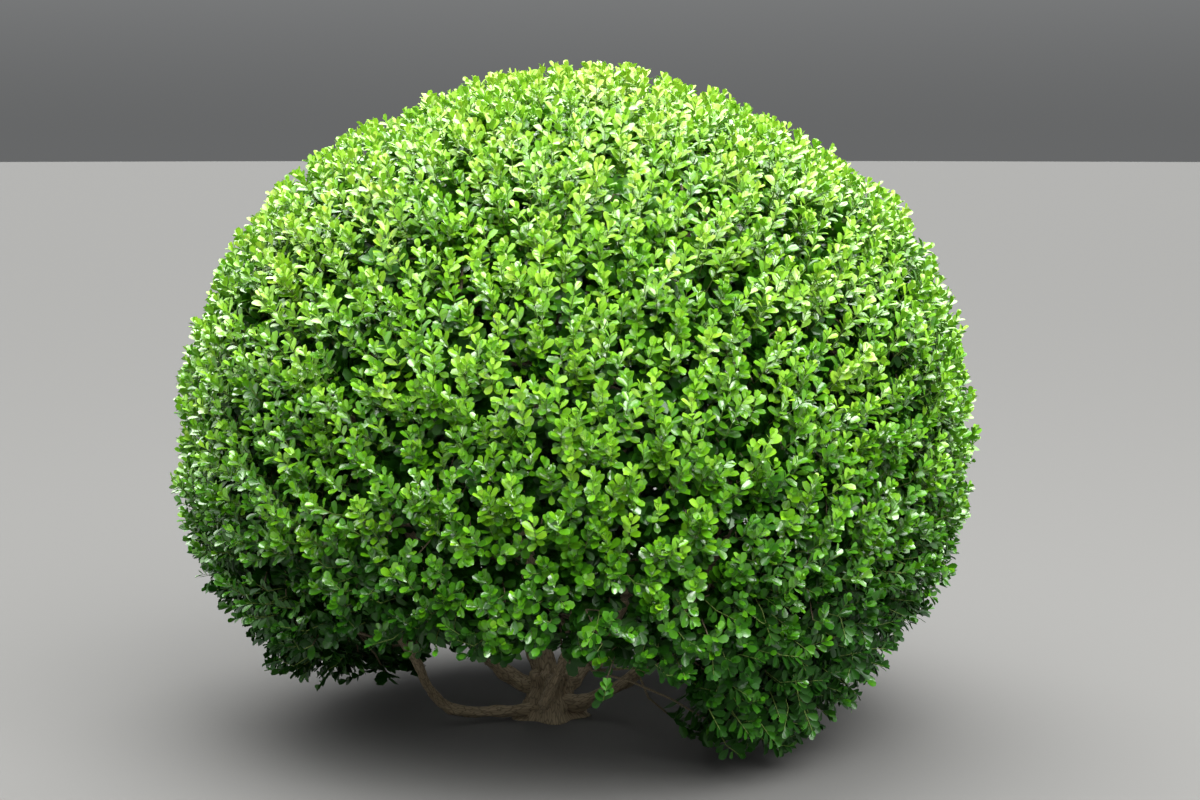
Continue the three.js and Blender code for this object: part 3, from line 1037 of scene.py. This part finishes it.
@dataclass
class OuterLeaves(LeafWork):
    """The leaves of the clipped shell, each pair square to the next, or all in a plane low down."""

    pairs: tuple[PairOnShoot, ...] = rows_of(
        PairOnShoot,
        (0.0005, 0.70, 20), (0.0065, 0.92, 34), (0.0150, 1.04, 47),
        (0.0255, 1.06, 56), (0.0375, 1.02, 62), (0.0500, 0.98, 66),
    )
    step: float = 0.04
    light_parts: Span = (0.7, 0.7)
    pull: Point = (0.10, 0.10, 1.2)
    youth_parts: Span = (0.10, -0.05)

    def dress(self, shoots: Shoots, youth: Array, flat: Array) -> None:
        """Set the leaves on the shoots.

        Args:
            shoots: The shoots.
            youth: How young each spray is and how lit it is painted.
            flat: How far the pairs of each shoot lie in one plane.
        """
        spin = self.random.uniform(0, math.pi, len(youth))
        outward_part, upward_part = self.light_parts
        light = unit(shoots.outward * outward_part + UP * upward_part)
        pull, order_pull, flat_pull = self.pull
        youngest, older = self.youth_parts
        for order, pair in enumerate(self.pairs):
            share = np.clip(pair.from_tip / shoots.length, 0, 1)
            place = shoots.at(share)
            stem = unit(place - shoots.at(np.clip(share + self.step, 0, 1)))
            flank, other = square_to(stem)
            across = np.cross(light, stem)
            level = np.arctan2((across * other).sum(axis=1), (across * flank).sum(axis=1))
            turn = level + (spin + order * math.pi / 2) * (1 - flat)
            pulls = pull + order_pull * order + flat_pull * flat
            self.set_pair(pair, place, stem, turn, light, pulls, youth + youngest + older * order)


@dataclass
class InnerLeaves(LeafWork):
    """The older, shaded leaves inside the shell, each pair square to the next."""

    angle_wobble: float = 10
    sizes: Span = (0.85, 1.1)
    turn_wobble: float = 0.3
    lean: float = 0.02
    light_rise: float = 0.4
    pull: float = 0.8
    # Dark greens as painted shade inside, lighter towards the top as painted light.
    youth_parts: Span = (0.05, 0.55)

    def dress(self, start: Array, end: Array, outward: Array, pairs: tuple[PairOnShoot, ...]) -> None:
        """Set the leaves along straight lengths of twig.

        Args:
            start: Where the twigs begin.
            end: Where they end.
            outward: Which way the surface faces there.
            pairs: The pairs on each, whose places are shares of its length from the end.
        """
        stem = unit(end - start + outward * self.lean)
        bearing = self.random.uniform(0, math.pi, len(start))
        light = unit(outward + UP * self.light_rise)
        shaded_oldest, lighter_on_top = self.youth_parts
        # Painted shade and light: the darkest greens inside, lighter ones towards the top.
        youth = shaded_oldest + lighter_on_top * np.clip(outward[:, 2], 0, 1) ** 2
        pull = np.full(len(start), self.pull)
        for order, pair in enumerate(pairs):
            place = end + (start - end) * pair.from_tip
            self.set_pair(pair, place, stem, bearing + order * math.pi / 2, light, pull, youth)


@dataclass
class ShootGrowth(Growth):
    """A mass's branchlets, and the leafy shoots that reach the clipped surface."""

    branchlet_directions: int = 1580
    branchlet_share: float = 0.9
    branchlet_scatter: float = 0.018
    branchlet_depth: float = 0.082
    branchlet_unevenness: float = 0.008
    branchlet_inward: Span = (0.05, 0.02)
    branchlet_girths: tuple[float, ...] = (0.0021, 0.0018, 0.0015, 0.0012)
    shoot_directions: int = 7000
    shoot_turn: float = 77
    shoot_share: float = 0.97
    shoot_scatter: float = 0.027
    hem_drop: float = 0.01
    gather: float = 0.14
    spray_unevenness: float = 0.006
    least_depth: float = 0.009
    fan: float = 3.2
    shoot_length: float = 0.066
    shoot_lengths: Span = (0.85, 1.2)
    elbow_share: float = 0.55
    foot_share: float = 0.45
    foot_rise: float = 0.1
    foot_girths: tuple[float, ...] = (0.0012, 0.0010)
    shoot_shares: tuple[float, ...] = (1.0, 0.5, 0.0)
    shoot_girths: tuple[float, ...] = (0.0010, 0.0008, 0.0004)
    shell_depth: float = 0.016
    lumps: tuple[Waves, ...] = (Waves(0.30, 3, 0.004), Waves(0.12, 4, 0.005))
    straggle_form: float = 1.6
    straggle: Span = (0.0050, 0.0062)
    missing: Span = (0.04, 0.16)
    missing_in_gap: float = 0.8
    lift: Span = (1.45, 1.25)
    wander: Span = (0.28, 0.22)
    # Level, then lighter greens towards the top and darker ones low down: painted light and painted shade.
    youth_parts: Point = (0.49, 0.36, 0.30)
    patches: tuple[Waves, ...] = (Waves(0.16, 7, 0.05), Waves(0.05, 8, 0.04))
    # Sprays towards one side, front left above the waist, are dealt lighter greens.
    young_side: Span = (-142, 30)
    young_spread: float = 0.16
    young_extra: float = 0.16
    youth_wobble: float = 0.075
    # Greens darken with depth under the surface: partly age, partly painted shade in the hollows.
    age_with_depth: float = 4
    young_depth: float = 0.02
    flat_with_low: float = 1.5
    flat_from: float = 0.2
    flat_wobble: float = 0.15
    flattest: float = 0.9
    inner_pairs: tuple[PairOnShoot, ...] = rows_of(
        PairOnShoot, (0.10, 1.35, 62), (0.40, 1.40, 66), (0.70, 1.40, 70), (1.00, 1.40, 72)
    )
    branchlet_pairs: tuple[PairOnShoot, ...] = rows_of(
        PairOnShoot,
        (0.00, 1.45, 50), (0.08, 1.50, 56), (0.16, 1.55, 60), (0.24, 1.60, 64), (0.33, 1.60, 66),
        (0.42, 1.60, 68), (0.52, 1.60, 70), (0.63, 1.60, 72), (0.76, 1.60, 74), (0.90, 1.60, 76),
    )
    gaps: tuple[Gap, ...] = rows_of(
        Gap,
        (-126, 33, 0.024, 0.050), (-126, 28, 0.020, 0.045), (-52, 34, 0.026, 0.040), (-68, 30, 0.018, 0.030),
        (-87, -7, 0.022, 0.028), (-71, -9, 0.028, 0.034), (-132, -21, 0.034, 0.040), (-115, -6, 0.022, 0.030),
        (-42, 2, 0.024, 0.030), (20, 30, 0.024, 0.035), (75, 4, 0.026, 0.035), (118, 38, 0.026, 0.035),
    )

    def depths(self, directions: Array) -> tuple[Array, Array]:
        """Find how deep under the surface each shoot ends, and which shoots are missing.

        Args:
            directions: Unit vectors, one to a row.

        Returns:
            Depths in metres, and True where there is a shoot.
        """
        random, count, surface = self.random, len(directions), self.shape.surface
        places = surface.within(directions, 1.0)
        low = self.shape.lowness(directions)
        straggle, low_straggle = self.straggle
        missing, low_missing = self.missing
        lumps = sum(waves.at(places) for waves in self.lumps)
        stray = random.gamma(self.straggle_form, straggle + low_straggle * low, count)
        depth = self.shell_depth + lumps + stray
        kept = random.random(count) > missing + low_missing * low
        for gap in self.gaps:
            middle = surface.within(toward(gap.azimuth, gap.elevation)[None], 1.0)
            hollow = np.exp(-((np.linalg.norm(places - middle, axis=1) / gap.radius) ** 2))
            depth = depth + gap.depth * hollow
            kept &= random.random(count) > hollow * self.missing_in_gap
        return depth, kept

    def growing(self, outward: Array, low: Array) -> Array:
        """Find the way in which shoots grow: out of the surface, up to the light, and to all sides low down.

        Args:
            outward: Which way the surface faces.
            low: How far down the ball they are.

        Returns:
            Unit vectors, one to a row.
        """
        rise = outward[:, 2]
        lift, sink = self.lift
        wander, low_wander = self.wander
        upward = np.where(rise > 0, lift * (1 - rise**2), lift + sink * rise)
        aside = self.random.normal(0, 1.0, outward.shape) * (wander + low_wander * low)[:, None]
        return unit(outward + UP * upward[:, None] + aside)

    def youth(self, directions: Array) -> Array:
        """Tell how young each spray is and how lit it is painted, by where it grows.

        Args:
            directions: Unit vectors, one to a row.

        Returns:
            Values from about 0, old and shaded, to about 1, new and sunlit.
        """
        places = self.shape.surface.within(directions, 1.0)
        level, rise, fall = self.youth_parts
        away = np.linalg.norm(directions - toward(*self.young_side), axis=1) / self.young_spread
        # Painted light and shade: lighter greens towards the top, darker ones low down.
        youth = level + rise * directions[:, 2] - fall * self.shape.lowness(directions)
        youth = youth + sum(waves.at(places) for waves in self.patches)
        youth = youth + self.young_extra * np.exp(-(away**2))
        return youth + self.random.normal(0, self.youth_wobble, len(directions))

    def stand(self, middles: Array) -> Shoots:
        """Find where the shoots stand, in sprays round the branchlets' middles.

        Args:
            middles: Direction of each branchlet's tip.

        Returns:
            The shoots that are clear of the hem.
        """
        shape, surface, random = self.shape, self.shape.surface, self.random
        spread = self.shoot_directions, self.shoot_turn, self.shoot_share, self.hem_drop
        ways = shape.spread(self.number, *spread)
        ways = unit(ways + random.normal(0, self.shoot_scatter, ways.shape))
        depth, kept = self.depths(ways)
        ways, depth = ways[kept], depth[kept]
        spray = (ways @ middles.T).argmax(axis=1)
        aside = ways - middles[spray]
        ways = unit(ways - aside * self.gather)
        unevenness = random.normal(0, self.spray_unevenness, len(middles))[spray]
        depth = np.clip(depth + unevenness, self.least_depth, None)
        outward = surface.outward(ways)
        low = shape.lowness(ways)
        growing = self.growing(outward + aside * self.fan, low)
        length = self.shoot_length * random.uniform(*self.shoot_lengths, len(ways))
        tip = surface.beneath(ways, depth)
        elbow = tip - growing * (length * self.elbow_share)[:, None]
        foot = elbow - unit(outward + UP * self.foot_rise) * (length * self.foot_share)[:, None]
        shoots = Shoots(ways, depth, low, spray, outward, length, tip, elbow, foot)
        return shoots.only(shape.clear_of_hem(tip) & shape.clear_of_hem(elbow))

    def grow(self, work: TwigWork, sources: Array) -> tuple[TwigWork, OuterLeaves, InnerLeaves]:
        """Grow the branchlets and the leafy shoots.

        Args:
            work: The mass's twigs, which gain the branchlets.
            sources: Points from which branchlets may leave.

        Returns:
            The centre lines of the shoots, the leaves on them, and the older leaves inside.
        """
        shape, surface, random = self.shape, self.shape.surface, self.random
        spread = self.branchlet_directions, 0, self.branchlet_share, self.hem_drop
        middles = shape.spread(self.number, *spread)
        middles = unit(middles + random.normal(0, self.branchlet_scatter, middles.shape))
        unevenness = random.normal(0, self.branchlet_unevenness, len(middles))
        tips = surface.beneath(middles, self.branchlet_depth + unevenness)
        inward, down = self.branchlet_inward
        nearest = self.nearest(tips - surface.outward(middles) * inward - UP * down, sources)
        branchlets = self.bent(sources[nearest], tips, UP, len(self.branchlet_girths))
        work.add(branchlets, self.branchlet_girths)
        shoots = self.stand(middles)
        start = tips[shoots.spray]
        chain = np.stack([shoots.at(share) for share in self.shoot_shares], axis=1)
        lines = TwigWork()
        lines.add(np.stack([start, chain[:, 0]], axis=1), self.foot_girths)
        lines.add(chain, self.shoot_girths, Stem.GREEN)
        # Deeper shoots get darker greens: partly older leaves, partly painted shade in the hollows.
        youth = self.youth(shoots.ways) - (shoots.depth - self.young_depth) * self.age_with_depth
        flat = shoots.low * self.flat_with_low - self.flat_from
        flat = np.clip(flat + random.normal(0, self.flat_wobble, len(youth)), 0, self.flattest)
        outer, inner = OuterLeaves(shape, random), InnerLeaves(shape, random)
        outer.dress(shoots, youth, flat)
        inner.dress(start, shoots.foot, shoots.outward, self.inner_pairs)
        inner.dress(branchlets[:, -2], tips, surface.outward(middles), self.branchlet_pairs)
        return lines, outer, inner


@dataclass(frozen=True)
class Crown:
    """The pieces of the crown, made by two node trees from what grows in each mass."""

    surface: ClippedSurface
    seed: int = 20
    twig_sides: int = 6
    shoot_sides: int = 3

    @staticmethod
    def make_leaf_tree() -> GrowthTree:
        """Build the tree that sets a leaf on every point.

        Returns:
            The tree, with the leaf's blade as its input.
        """
        growth = GrowthTree("leaves_on_points", "Blade", "Object")
        blade = growth.node("GeometryNodeObjectInfo", {"Object": growth.given["Blade"]})
        axes = {"Primary Axis": growth.attribute("along"), "Secondary Axis": growth.attribute("face")}
        turn = growth.node("FunctionNodeAxesToRotation", axes, primary_axis="Y", secondary_axis="Z")
        entries = {
            "Points": growth.given["Geometry"],
            "Instance": blade["Geometry"],
            "Rotation": turn["Rotation"],
            "Scale": growth.attribute("form"),
        }
        growth.dress(growth.node("GeometryNodeInstanceOnPoints", entries)["Instances"], Tint)
        return growth

    @staticmethod
    def make_twig_tree() -> GrowthTree:
        """Build the tree that gives every chain of edges its thickness.

        Returns:
            The tree, with the number of sides as its input.
        """
        growth = GrowthTree("twigs_on_edges", "Sides", "Int")
        lines = growth.node("GeometryNodeMeshToCurve", {"Mesh": growth.given["Geometry"]})
        entries = {"Resolution": growth.given["Sides"], "Radius": 1.0}
        ring = growth.node("GeometryNodeCurvePrimitiveCircle", entries)["Curve"]
        entries = {
            "Curve": lines["Curve"],
            "Profile Curve": ring,
            "Scale": growth.attribute("girth", "FLOAT"),
            "Fill Caps": True,
        }
        growth.dress(growth.node("GeometryNodeCurveToMesh", entries)["Mesh"], Stem)
        return growth

    def build(self) -> None:
        """Grow every mass and report its pieces."""
        shape, leaf_tree, twig_tree = CrownShape(self.surface), self.make_leaf_tree(), self.make_twig_tree()
        blade, inside_blade = OUTER_BLADE.build(), INNER_BLADE.build()
        for number, limb in enumerate(LIMBS):
            random = np.random.default_rng(self.seed + number)
            twigs, sources = TwigGrowth(shape, number, random).grow()
            shoots, outer, inner = ShootGrowth(shape, number, random).grow(twigs, sources)
            slot = "new_growth" if isinstance(limb, Leader) else "foliage"
            for kind, tree, seeds, value, finish in (
                ("branches", twig_tree, twigs.wire(), self.twig_sides, "bark"),
                ("shoots", twig_tree, shoots.wire(), self.shoot_sides, "bark"),
                ("leaves", leaf_tree, outer.points(), blade, slot),
                ("old_leaves", leaf_tree, inner.points(), inside_blade, "foliage"),
            ):
                piece = tree.grow(f"{kind}_{limb.name}", seeds, value)
                piece.data.shade_smooth()
                finish_piece(piece)
                if value is blade:
                    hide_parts(f"foliage_{limb.name}")
        for pattern in (blade, inside_blade):
            bpy.data.objects.remove(pattern)


@dataclass(frozen=True)
class BarkRelief:
    """The unevenness of old box bark: long ridges, gnarled swellings and fine cracks."""

    gnarl: float = 0.0011
    ridge: float = 0.0009
    crack: float = 0.00035
    ridges: int = 5
    seed: int = 40
    gnarl_length: float = 0.030
    twist: float = 28
    stray: float = 1.3
    stray_length: float = 0.05
    crack_length: float = 0.006

    def height(self, places: Array, angles: Array, along: Array) -> Array:
        """Read the relief.

        Args:
            places: Points on the smooth limb.
            angles: Angle of each round the limb.
            along: Distance of each along the limb.

        Returns:
            How far each point stands out, in metres.
        """
        gnarled = Waves(self.gnarl_length, self.seed, self.gnarl).at(places)
        stray = Waves(self.stray_length, self.seed + 1, self.stray).at(places)
        twisted = angles * self.ridges + along * self.twist + stray
        ridged = (1 - np.abs(np.sin(twisted / 2)) * 2) * self.ridge
        return gnarled + ridged - np.abs(Waves(self.crack_length, self.seed + 2, self.crack).at(places))


@dataclass(frozen=True)
class BarkSkin:
    """A closed skin through rings of points, anticlockwise as seen from the far end, mapped in metres."""

    rings: Array
    along: Array
    around: float

    def build(self, name: str, material: bpy.types.Material) -> bpy.types.Object:
        """Make the skin.

        Args:
            name: Name of the piece.
            material: Its material.

        Returns:
            The piece.
        """
        levels, sides = self.rings.shape[:2]
        ends = np.stack([self.rings[0].mean(axis=0), self.rings[-1].mean(axis=0)])
        index = np.arange(levels * sides).reshape(levels, sides)
        beside = np.roll(index, -1, axis=1)
        walls = np.stack([index[:-1], beside[:-1], beside[1:], index[1:]], axis=-1).reshape(-1, 4)
        base = np.full(sides, levels * sides)
        floor = np.stack([base, beside[0], index[0]], axis=-1)
        roof = np.stack([base + 1, index[-1], beside[-1]], axis=-1)
        corners = np.vstack([self.rings.reshape(-1, 3), ends])
        faces = [face for part in (walls, floor, roof) for face in part.tolist()]
        mesh = bpy.data.meshes.new(name)
        mesh.from_pydata(corners.tolist(), [], faces, shade_flat=False)
        spots = np.concatenate(self.map_spots(levels, sides))
        mesh.uv_layers.new(name="UVMap").data.foreach_set("uv", spots.astype(np.float32).ravel())
        mesh.materials.append(material)
        mesh.update()
        return new_object(name, mesh)

    def map_spots(self, levels: int, sides: int) -> tuple[Array, Array]:
        """Work out the map.

        Args:
            levels: Number of rings.
            sides: Points in a ring.

        Returns:
            The spots of the walls' corners and those of the two ends' corners.
        """
        across = np.arange(sides + 1) / sides * self.around
        low, high = self.along[:-1], self.along[1:]
        walls = np.empty((levels - 1, sides, 4, 2))
        walls[..., 0] = np.stack([across[:-1], across[1:], across[1:], across[:-1]], axis=-1)
        walls[..., 1] = np.stack([low, low, high, high], axis=-1)[:, None]
        ends = np.zeros((sides * 2, 3, 2))
        ends[:sides, :, 1] = self.along[0]
        ends[sides:, :, 1] = self.along[-1]
        return walls.reshape(-1, 2), ends.reshape(-1, 2)


@dataclass(frozen=True)
class Bough:
    """One bough with its bark's relief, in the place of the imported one."""

    limb: Limb | Leader
    foot_radius: float = 0.0098
    tip_radius: float = 0.0066
    knot: float = 0.13
    knot_beats: tuple[Span, ...] = ((17, 40), (7, 11))
    collar: float = 0.35
    collar_length: float = 0.020
    collar_fade: float = 0.022
    sides: int = 28
    ring_spacing: float = 0.0028
    measured_points: int = 50
    first_flank: Point = (0.3, 0.5, 0.8)
    relief: BarkRelief = BarkRelief()

    def radius(self, share: Array, along: Array) -> Array:
        """Find the radius: tapering, swollen at knots and widened where it leaves the stool.

        Args:
            share: Shares of the way from foot to tip.
            along: Distances from the foot.

        Returns:
            Radii in metres.
        """
        girth = self.limb.girth
        taper = (self.foot_radius + (self.tip_radius - self.foot_radius) * share) * girth
        knots = math.prod(np.sin(share * beat + girth * start) for beat, start in self.knot_beats)
        collar = 1 + self.collar * np.exp(-((along - self.collar_length) / self.collar_fade).clip(0) ** 2)
        return taper * (1 + self.knot * knots * (1 - share)) * collar

    def build(self, material: bpy.types.Material) -> bpy.types.Object:
        """Make the bough.

        Args:
            material: Its bark.

        Returns:
            The piece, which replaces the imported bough.
        """
        route = self.limb.route()
        steps = np.diff(route.points(self.measured_points), axis=0)
        length = float(np.linalg.norm(steps, axis=1).sum())
        levels = int(length / self.ring_spacing)
        line = route.points(levels)
        along = np.linspace(0, length, levels)
        flank, other = self.carried(unit(np.gradient(line, axis=0)))
        angles = np.arange(self.sides) / self.sides * math.tau
        cosines, sines = np.cos(angles)[None, :, None], np.sin(angles)[None, :, None]
        spokes = flank[:, None] * cosines + other[:, None] * sines
        radius = self.radius(along / length, along)
        smooth = line[:, None] + spokes * radius[:, None, None]
        height = self.relief.height(smooth, np.broadcast_to(angles, smooth.shape[:2]), along[:, None])
        skin = BarkSkin(smooth + spokes * height[..., None], along, float(radius.mean() * math.tau))
        piece = skin.build(f"bark_{self.limb.name}", material)
        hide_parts(f"bough_{self.limb.name}")
        return piece

    def carried(self, onward: Array) -> tuple[Array, Array]:
        """Carry a pair of directions along the line, square to it and without twist.

        Args:
            onward: Unit vectors along the line.

        Returns:
            The two directions at each point, right-handed with the line.
        """
        flank = np.empty_like(onward)
        flank[0] = unit(np.cross(self.first_flank, onward[0]))
        for step in range(1, len(onward)):
            before = flank[step - 1]
            flank[step] = unit(before - onward[step] * (before @ onward[step]))
        return flank, np.cross(onward, flank)


@dataclass(frozen=True)
class Stool:
    """The short trunk with its root flare, from which all the boughs leave."""

    neck: float = 0.028
    flare: float = 0.027
    top: float = 0.074
    fade: float = 0.020
    lobes: int = 5
    lobe_depth: float = 0.3
    lobe_turn: float = 0.6
    sides: int = 120
    levels: int = 44
    wall_share: float = 0.86
    dome_share: float = 0.14
    dome_levels: int = 12
    dome_closing: float = 0.985
    level_relief: float = 0.25
    relief_from: float = 0.006
    map_girth: float = 1.4
    burrs: Waves = Waves(0.022, 66, 0.0022)
    relief: BarkRelief = BarkRelief(gnarl=0.0020, ridge=0.0016, crack=0.0005, ridges=22, seed=60)

    def build(self, material: bpy.types.Material) -> bpy.types.Object:
        """Make the stool.

        Args:
            material: Its bark.

        Returns:
            The piece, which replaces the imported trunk.
        """
        angles = np.arange(self.sides) / self.sides * math.tau
        lobe = 1 + self.lobe_depth * np.cos(self.lobes * angles + self.lobe_turn)
        wall = np.linspace(0, self.top * self.wall_share, self.levels)
        spread = self.neck + self.flare * np.exp(-wall[:, None] / self.fade) * lobe
        dome = np.linspace(0, 1, self.dome_levels)[1:, None]
        closing = spread[-1] * np.sqrt(1 - (dome * self.dome_closing) ** 2)
        radius = np.vstack([spread, closing])
        heights = np.concatenate([wall, wall[-1] + dome[:, 0] * self.top * self.dome_share])
        parts = np.cos(angles) * radius, np.sin(angles) * radius, heights[:, None]
        smooth = np.stack(np.broadcast_arrays(*parts), axis=-1)
        out = unit(smooth * [1, 1, self.level_relief])
        height = self.relief.height(smooth, np.broadcast_to(angles, radius.shape), heights[:, None])
        height = height + self.burrs.at(smooth)
        rings = smooth + out * height[..., None] * np.clip(heights / self.relief_from, 0, 1)[:, None, None]
        rings[..., 2] = np.clip(rings[..., 2], 0, self.top)
        rings[0, :, 2] = 0
        skin = BarkSkin(rings, heights, math.tau * self.neck * self.map_girth)
        piece = skin.build("bark_stool", material)
        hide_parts("trunk")
        return piece


@dataclass(frozen=True)
class Studio:
    """A plain pale floor, soft light and the camera of the photograph."""

    floor_radius: float = 60.0
    floor_corners: int = 96
    floor_colour: Colour = (0.125, 0.123, 0.118)
    floor_roughness: float = 0.9
    floor_shine: float = 0.1
    sky_colour: Colour = (0.95, 0.97, 0.98)
    horizon: float = 0.14
    zenith: float = 3.95
    sky_curve: float = 1.5
    sun_strength: float = 3.7
    sun_width: float = 60.0
    sun_from: Span = (108.0, 66.0)
    front_place: Point = (1.9, -3.2, 4.3)
    front_width: float = 4.2
    front_power: float = 415
    front_aim: Point = (0, 0, 0.5)
    lens: float = 66.0
    sensor: float = 36.0
    distance: float = 3.28
    elevation: float = 7.0
    aim: Point = (0.076, 0.0, 0.480)

    def build(self) -> None:
        """Make the floor, the sky, the lights and the camera."""
        self.lay_floor()
        self.spread_sky()
        self.hang_lights()
        self.set_camera()

    def lay_floor(self) -> None:
        """Lay the floor, which isn't part of the plant."""
        rim = toward(np.arange(self.floor_corners) / self.floor_corners * 360, 0) * self.floor_radius
        mesh = bpy.data.meshes.new("floor")
        mesh.from_pydata(rim.tolist(), [], [tuple(range(self.floor_corners))])
        entries = {
            "Base Color": (*self.floor_colour, 1),
            "Roughness": self.floor_roughness,
            "Specular IOR Level": self.floor_shine,
        }
        mesh.materials.append(MaterialSheet("floor_paper").finished(entries))
        new_object("floor", mesh)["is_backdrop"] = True

    def spread_sky(self) -> None:
        """Spread a pale sky, from its brightness at the horizon to that at the zenith."""
        world = bpy.data.worlds.new("pale_sky")
        world.use_nodes = True
        sheet = NodeSheet(world.node_tree)
        way = sheet.node("ShaderNodeTexCoord")["Generated"]
        height = sheet.node("ShaderNodeSeparateXYZ", {"Vector": way})["Z"]
        entries = {0: height, 1: self.sky_curve}
        curved = sheet.node("ShaderNodeMath", entries, operation="POWER", use_clamp=True)["Value"]
        entries = {"Value": curved, "To Min": self.horizon, "To Max": self.zenith}
        rise = sheet.node("ShaderNodeMapRange", entries)["Result"]
        sheet.fill(world.node_tree.nodes["Background"], {"Color": (*self.sky_colour, 1), "Strength": rise})
        bpy.context.scene.world = world

    def hang_lights(self) -> None:
        """Hang a broad soft light overhead and a wide one at the front."""
        sun = bpy.data.lights.new("overhead", "SUN")
        sun.energy = self.sun_strength
        sun.angle = math.radians(self.sun_width)
        self.face(new_object("overhead", sun), -Vector(toward(*self.sun_from).tolist()))
        front = bpy.data.lights.new("front", "AREA")
        front.size = self.front_width
        front.energy = self.front_power
        lamp = new_object("front", front)
        lamp.location = self.front_place
        self.face(lamp, Vector(self.front_aim) - Vector(self.front_place))

    @staticmethod
    def face(thing: bpy.types.Object, way: Vector) -> None:
        """Turn a light or the camera to look along a direction, upright."""
        thing.rotation_euler = way.to_track_quat("-Z", "Y").to_euler()

    def set_camera(self) -> None:
        """Set the camera where the photograph was taken from."""
        data = bpy.data.cameras.new("camera")
        data.lens = self.lens
        data.sensor_width = self.sensor
        data.sensor_fit = "HORIZONTAL"
        camera = new_object("camera", data)
        back = Vector(toward(-90, self.elevation).tolist())
        camera.location = Vector(self.aim) + back * self.distance
        self.face(camera, -back)
        bpy.context.scene.camera = camera
        bpy.context.scene.view_settings.view_transform = "Standard"


def main() -> None:
    """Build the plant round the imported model, piece by piece."""
    logging.basicConfig(level=logging.INFO, format="%(name)s: %(message)s")
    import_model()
    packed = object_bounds()
    surface = ClippedSurface.round_the(*packed)
    size = surface.width, surface.depth, surface.top
    LOG.info("clipped surface: %.3f m wide, %.3f m deep, %.3f m high", *size)
    bark = LIMB_BARK.material()
    finish_piece(Stool().build(bark))
    for limb in LIMBS:
        finish_piece(Bough(limb).build(bark))
    Crown(surface).build()
    Studio().build()


if __name__ == "__main__":
    main()
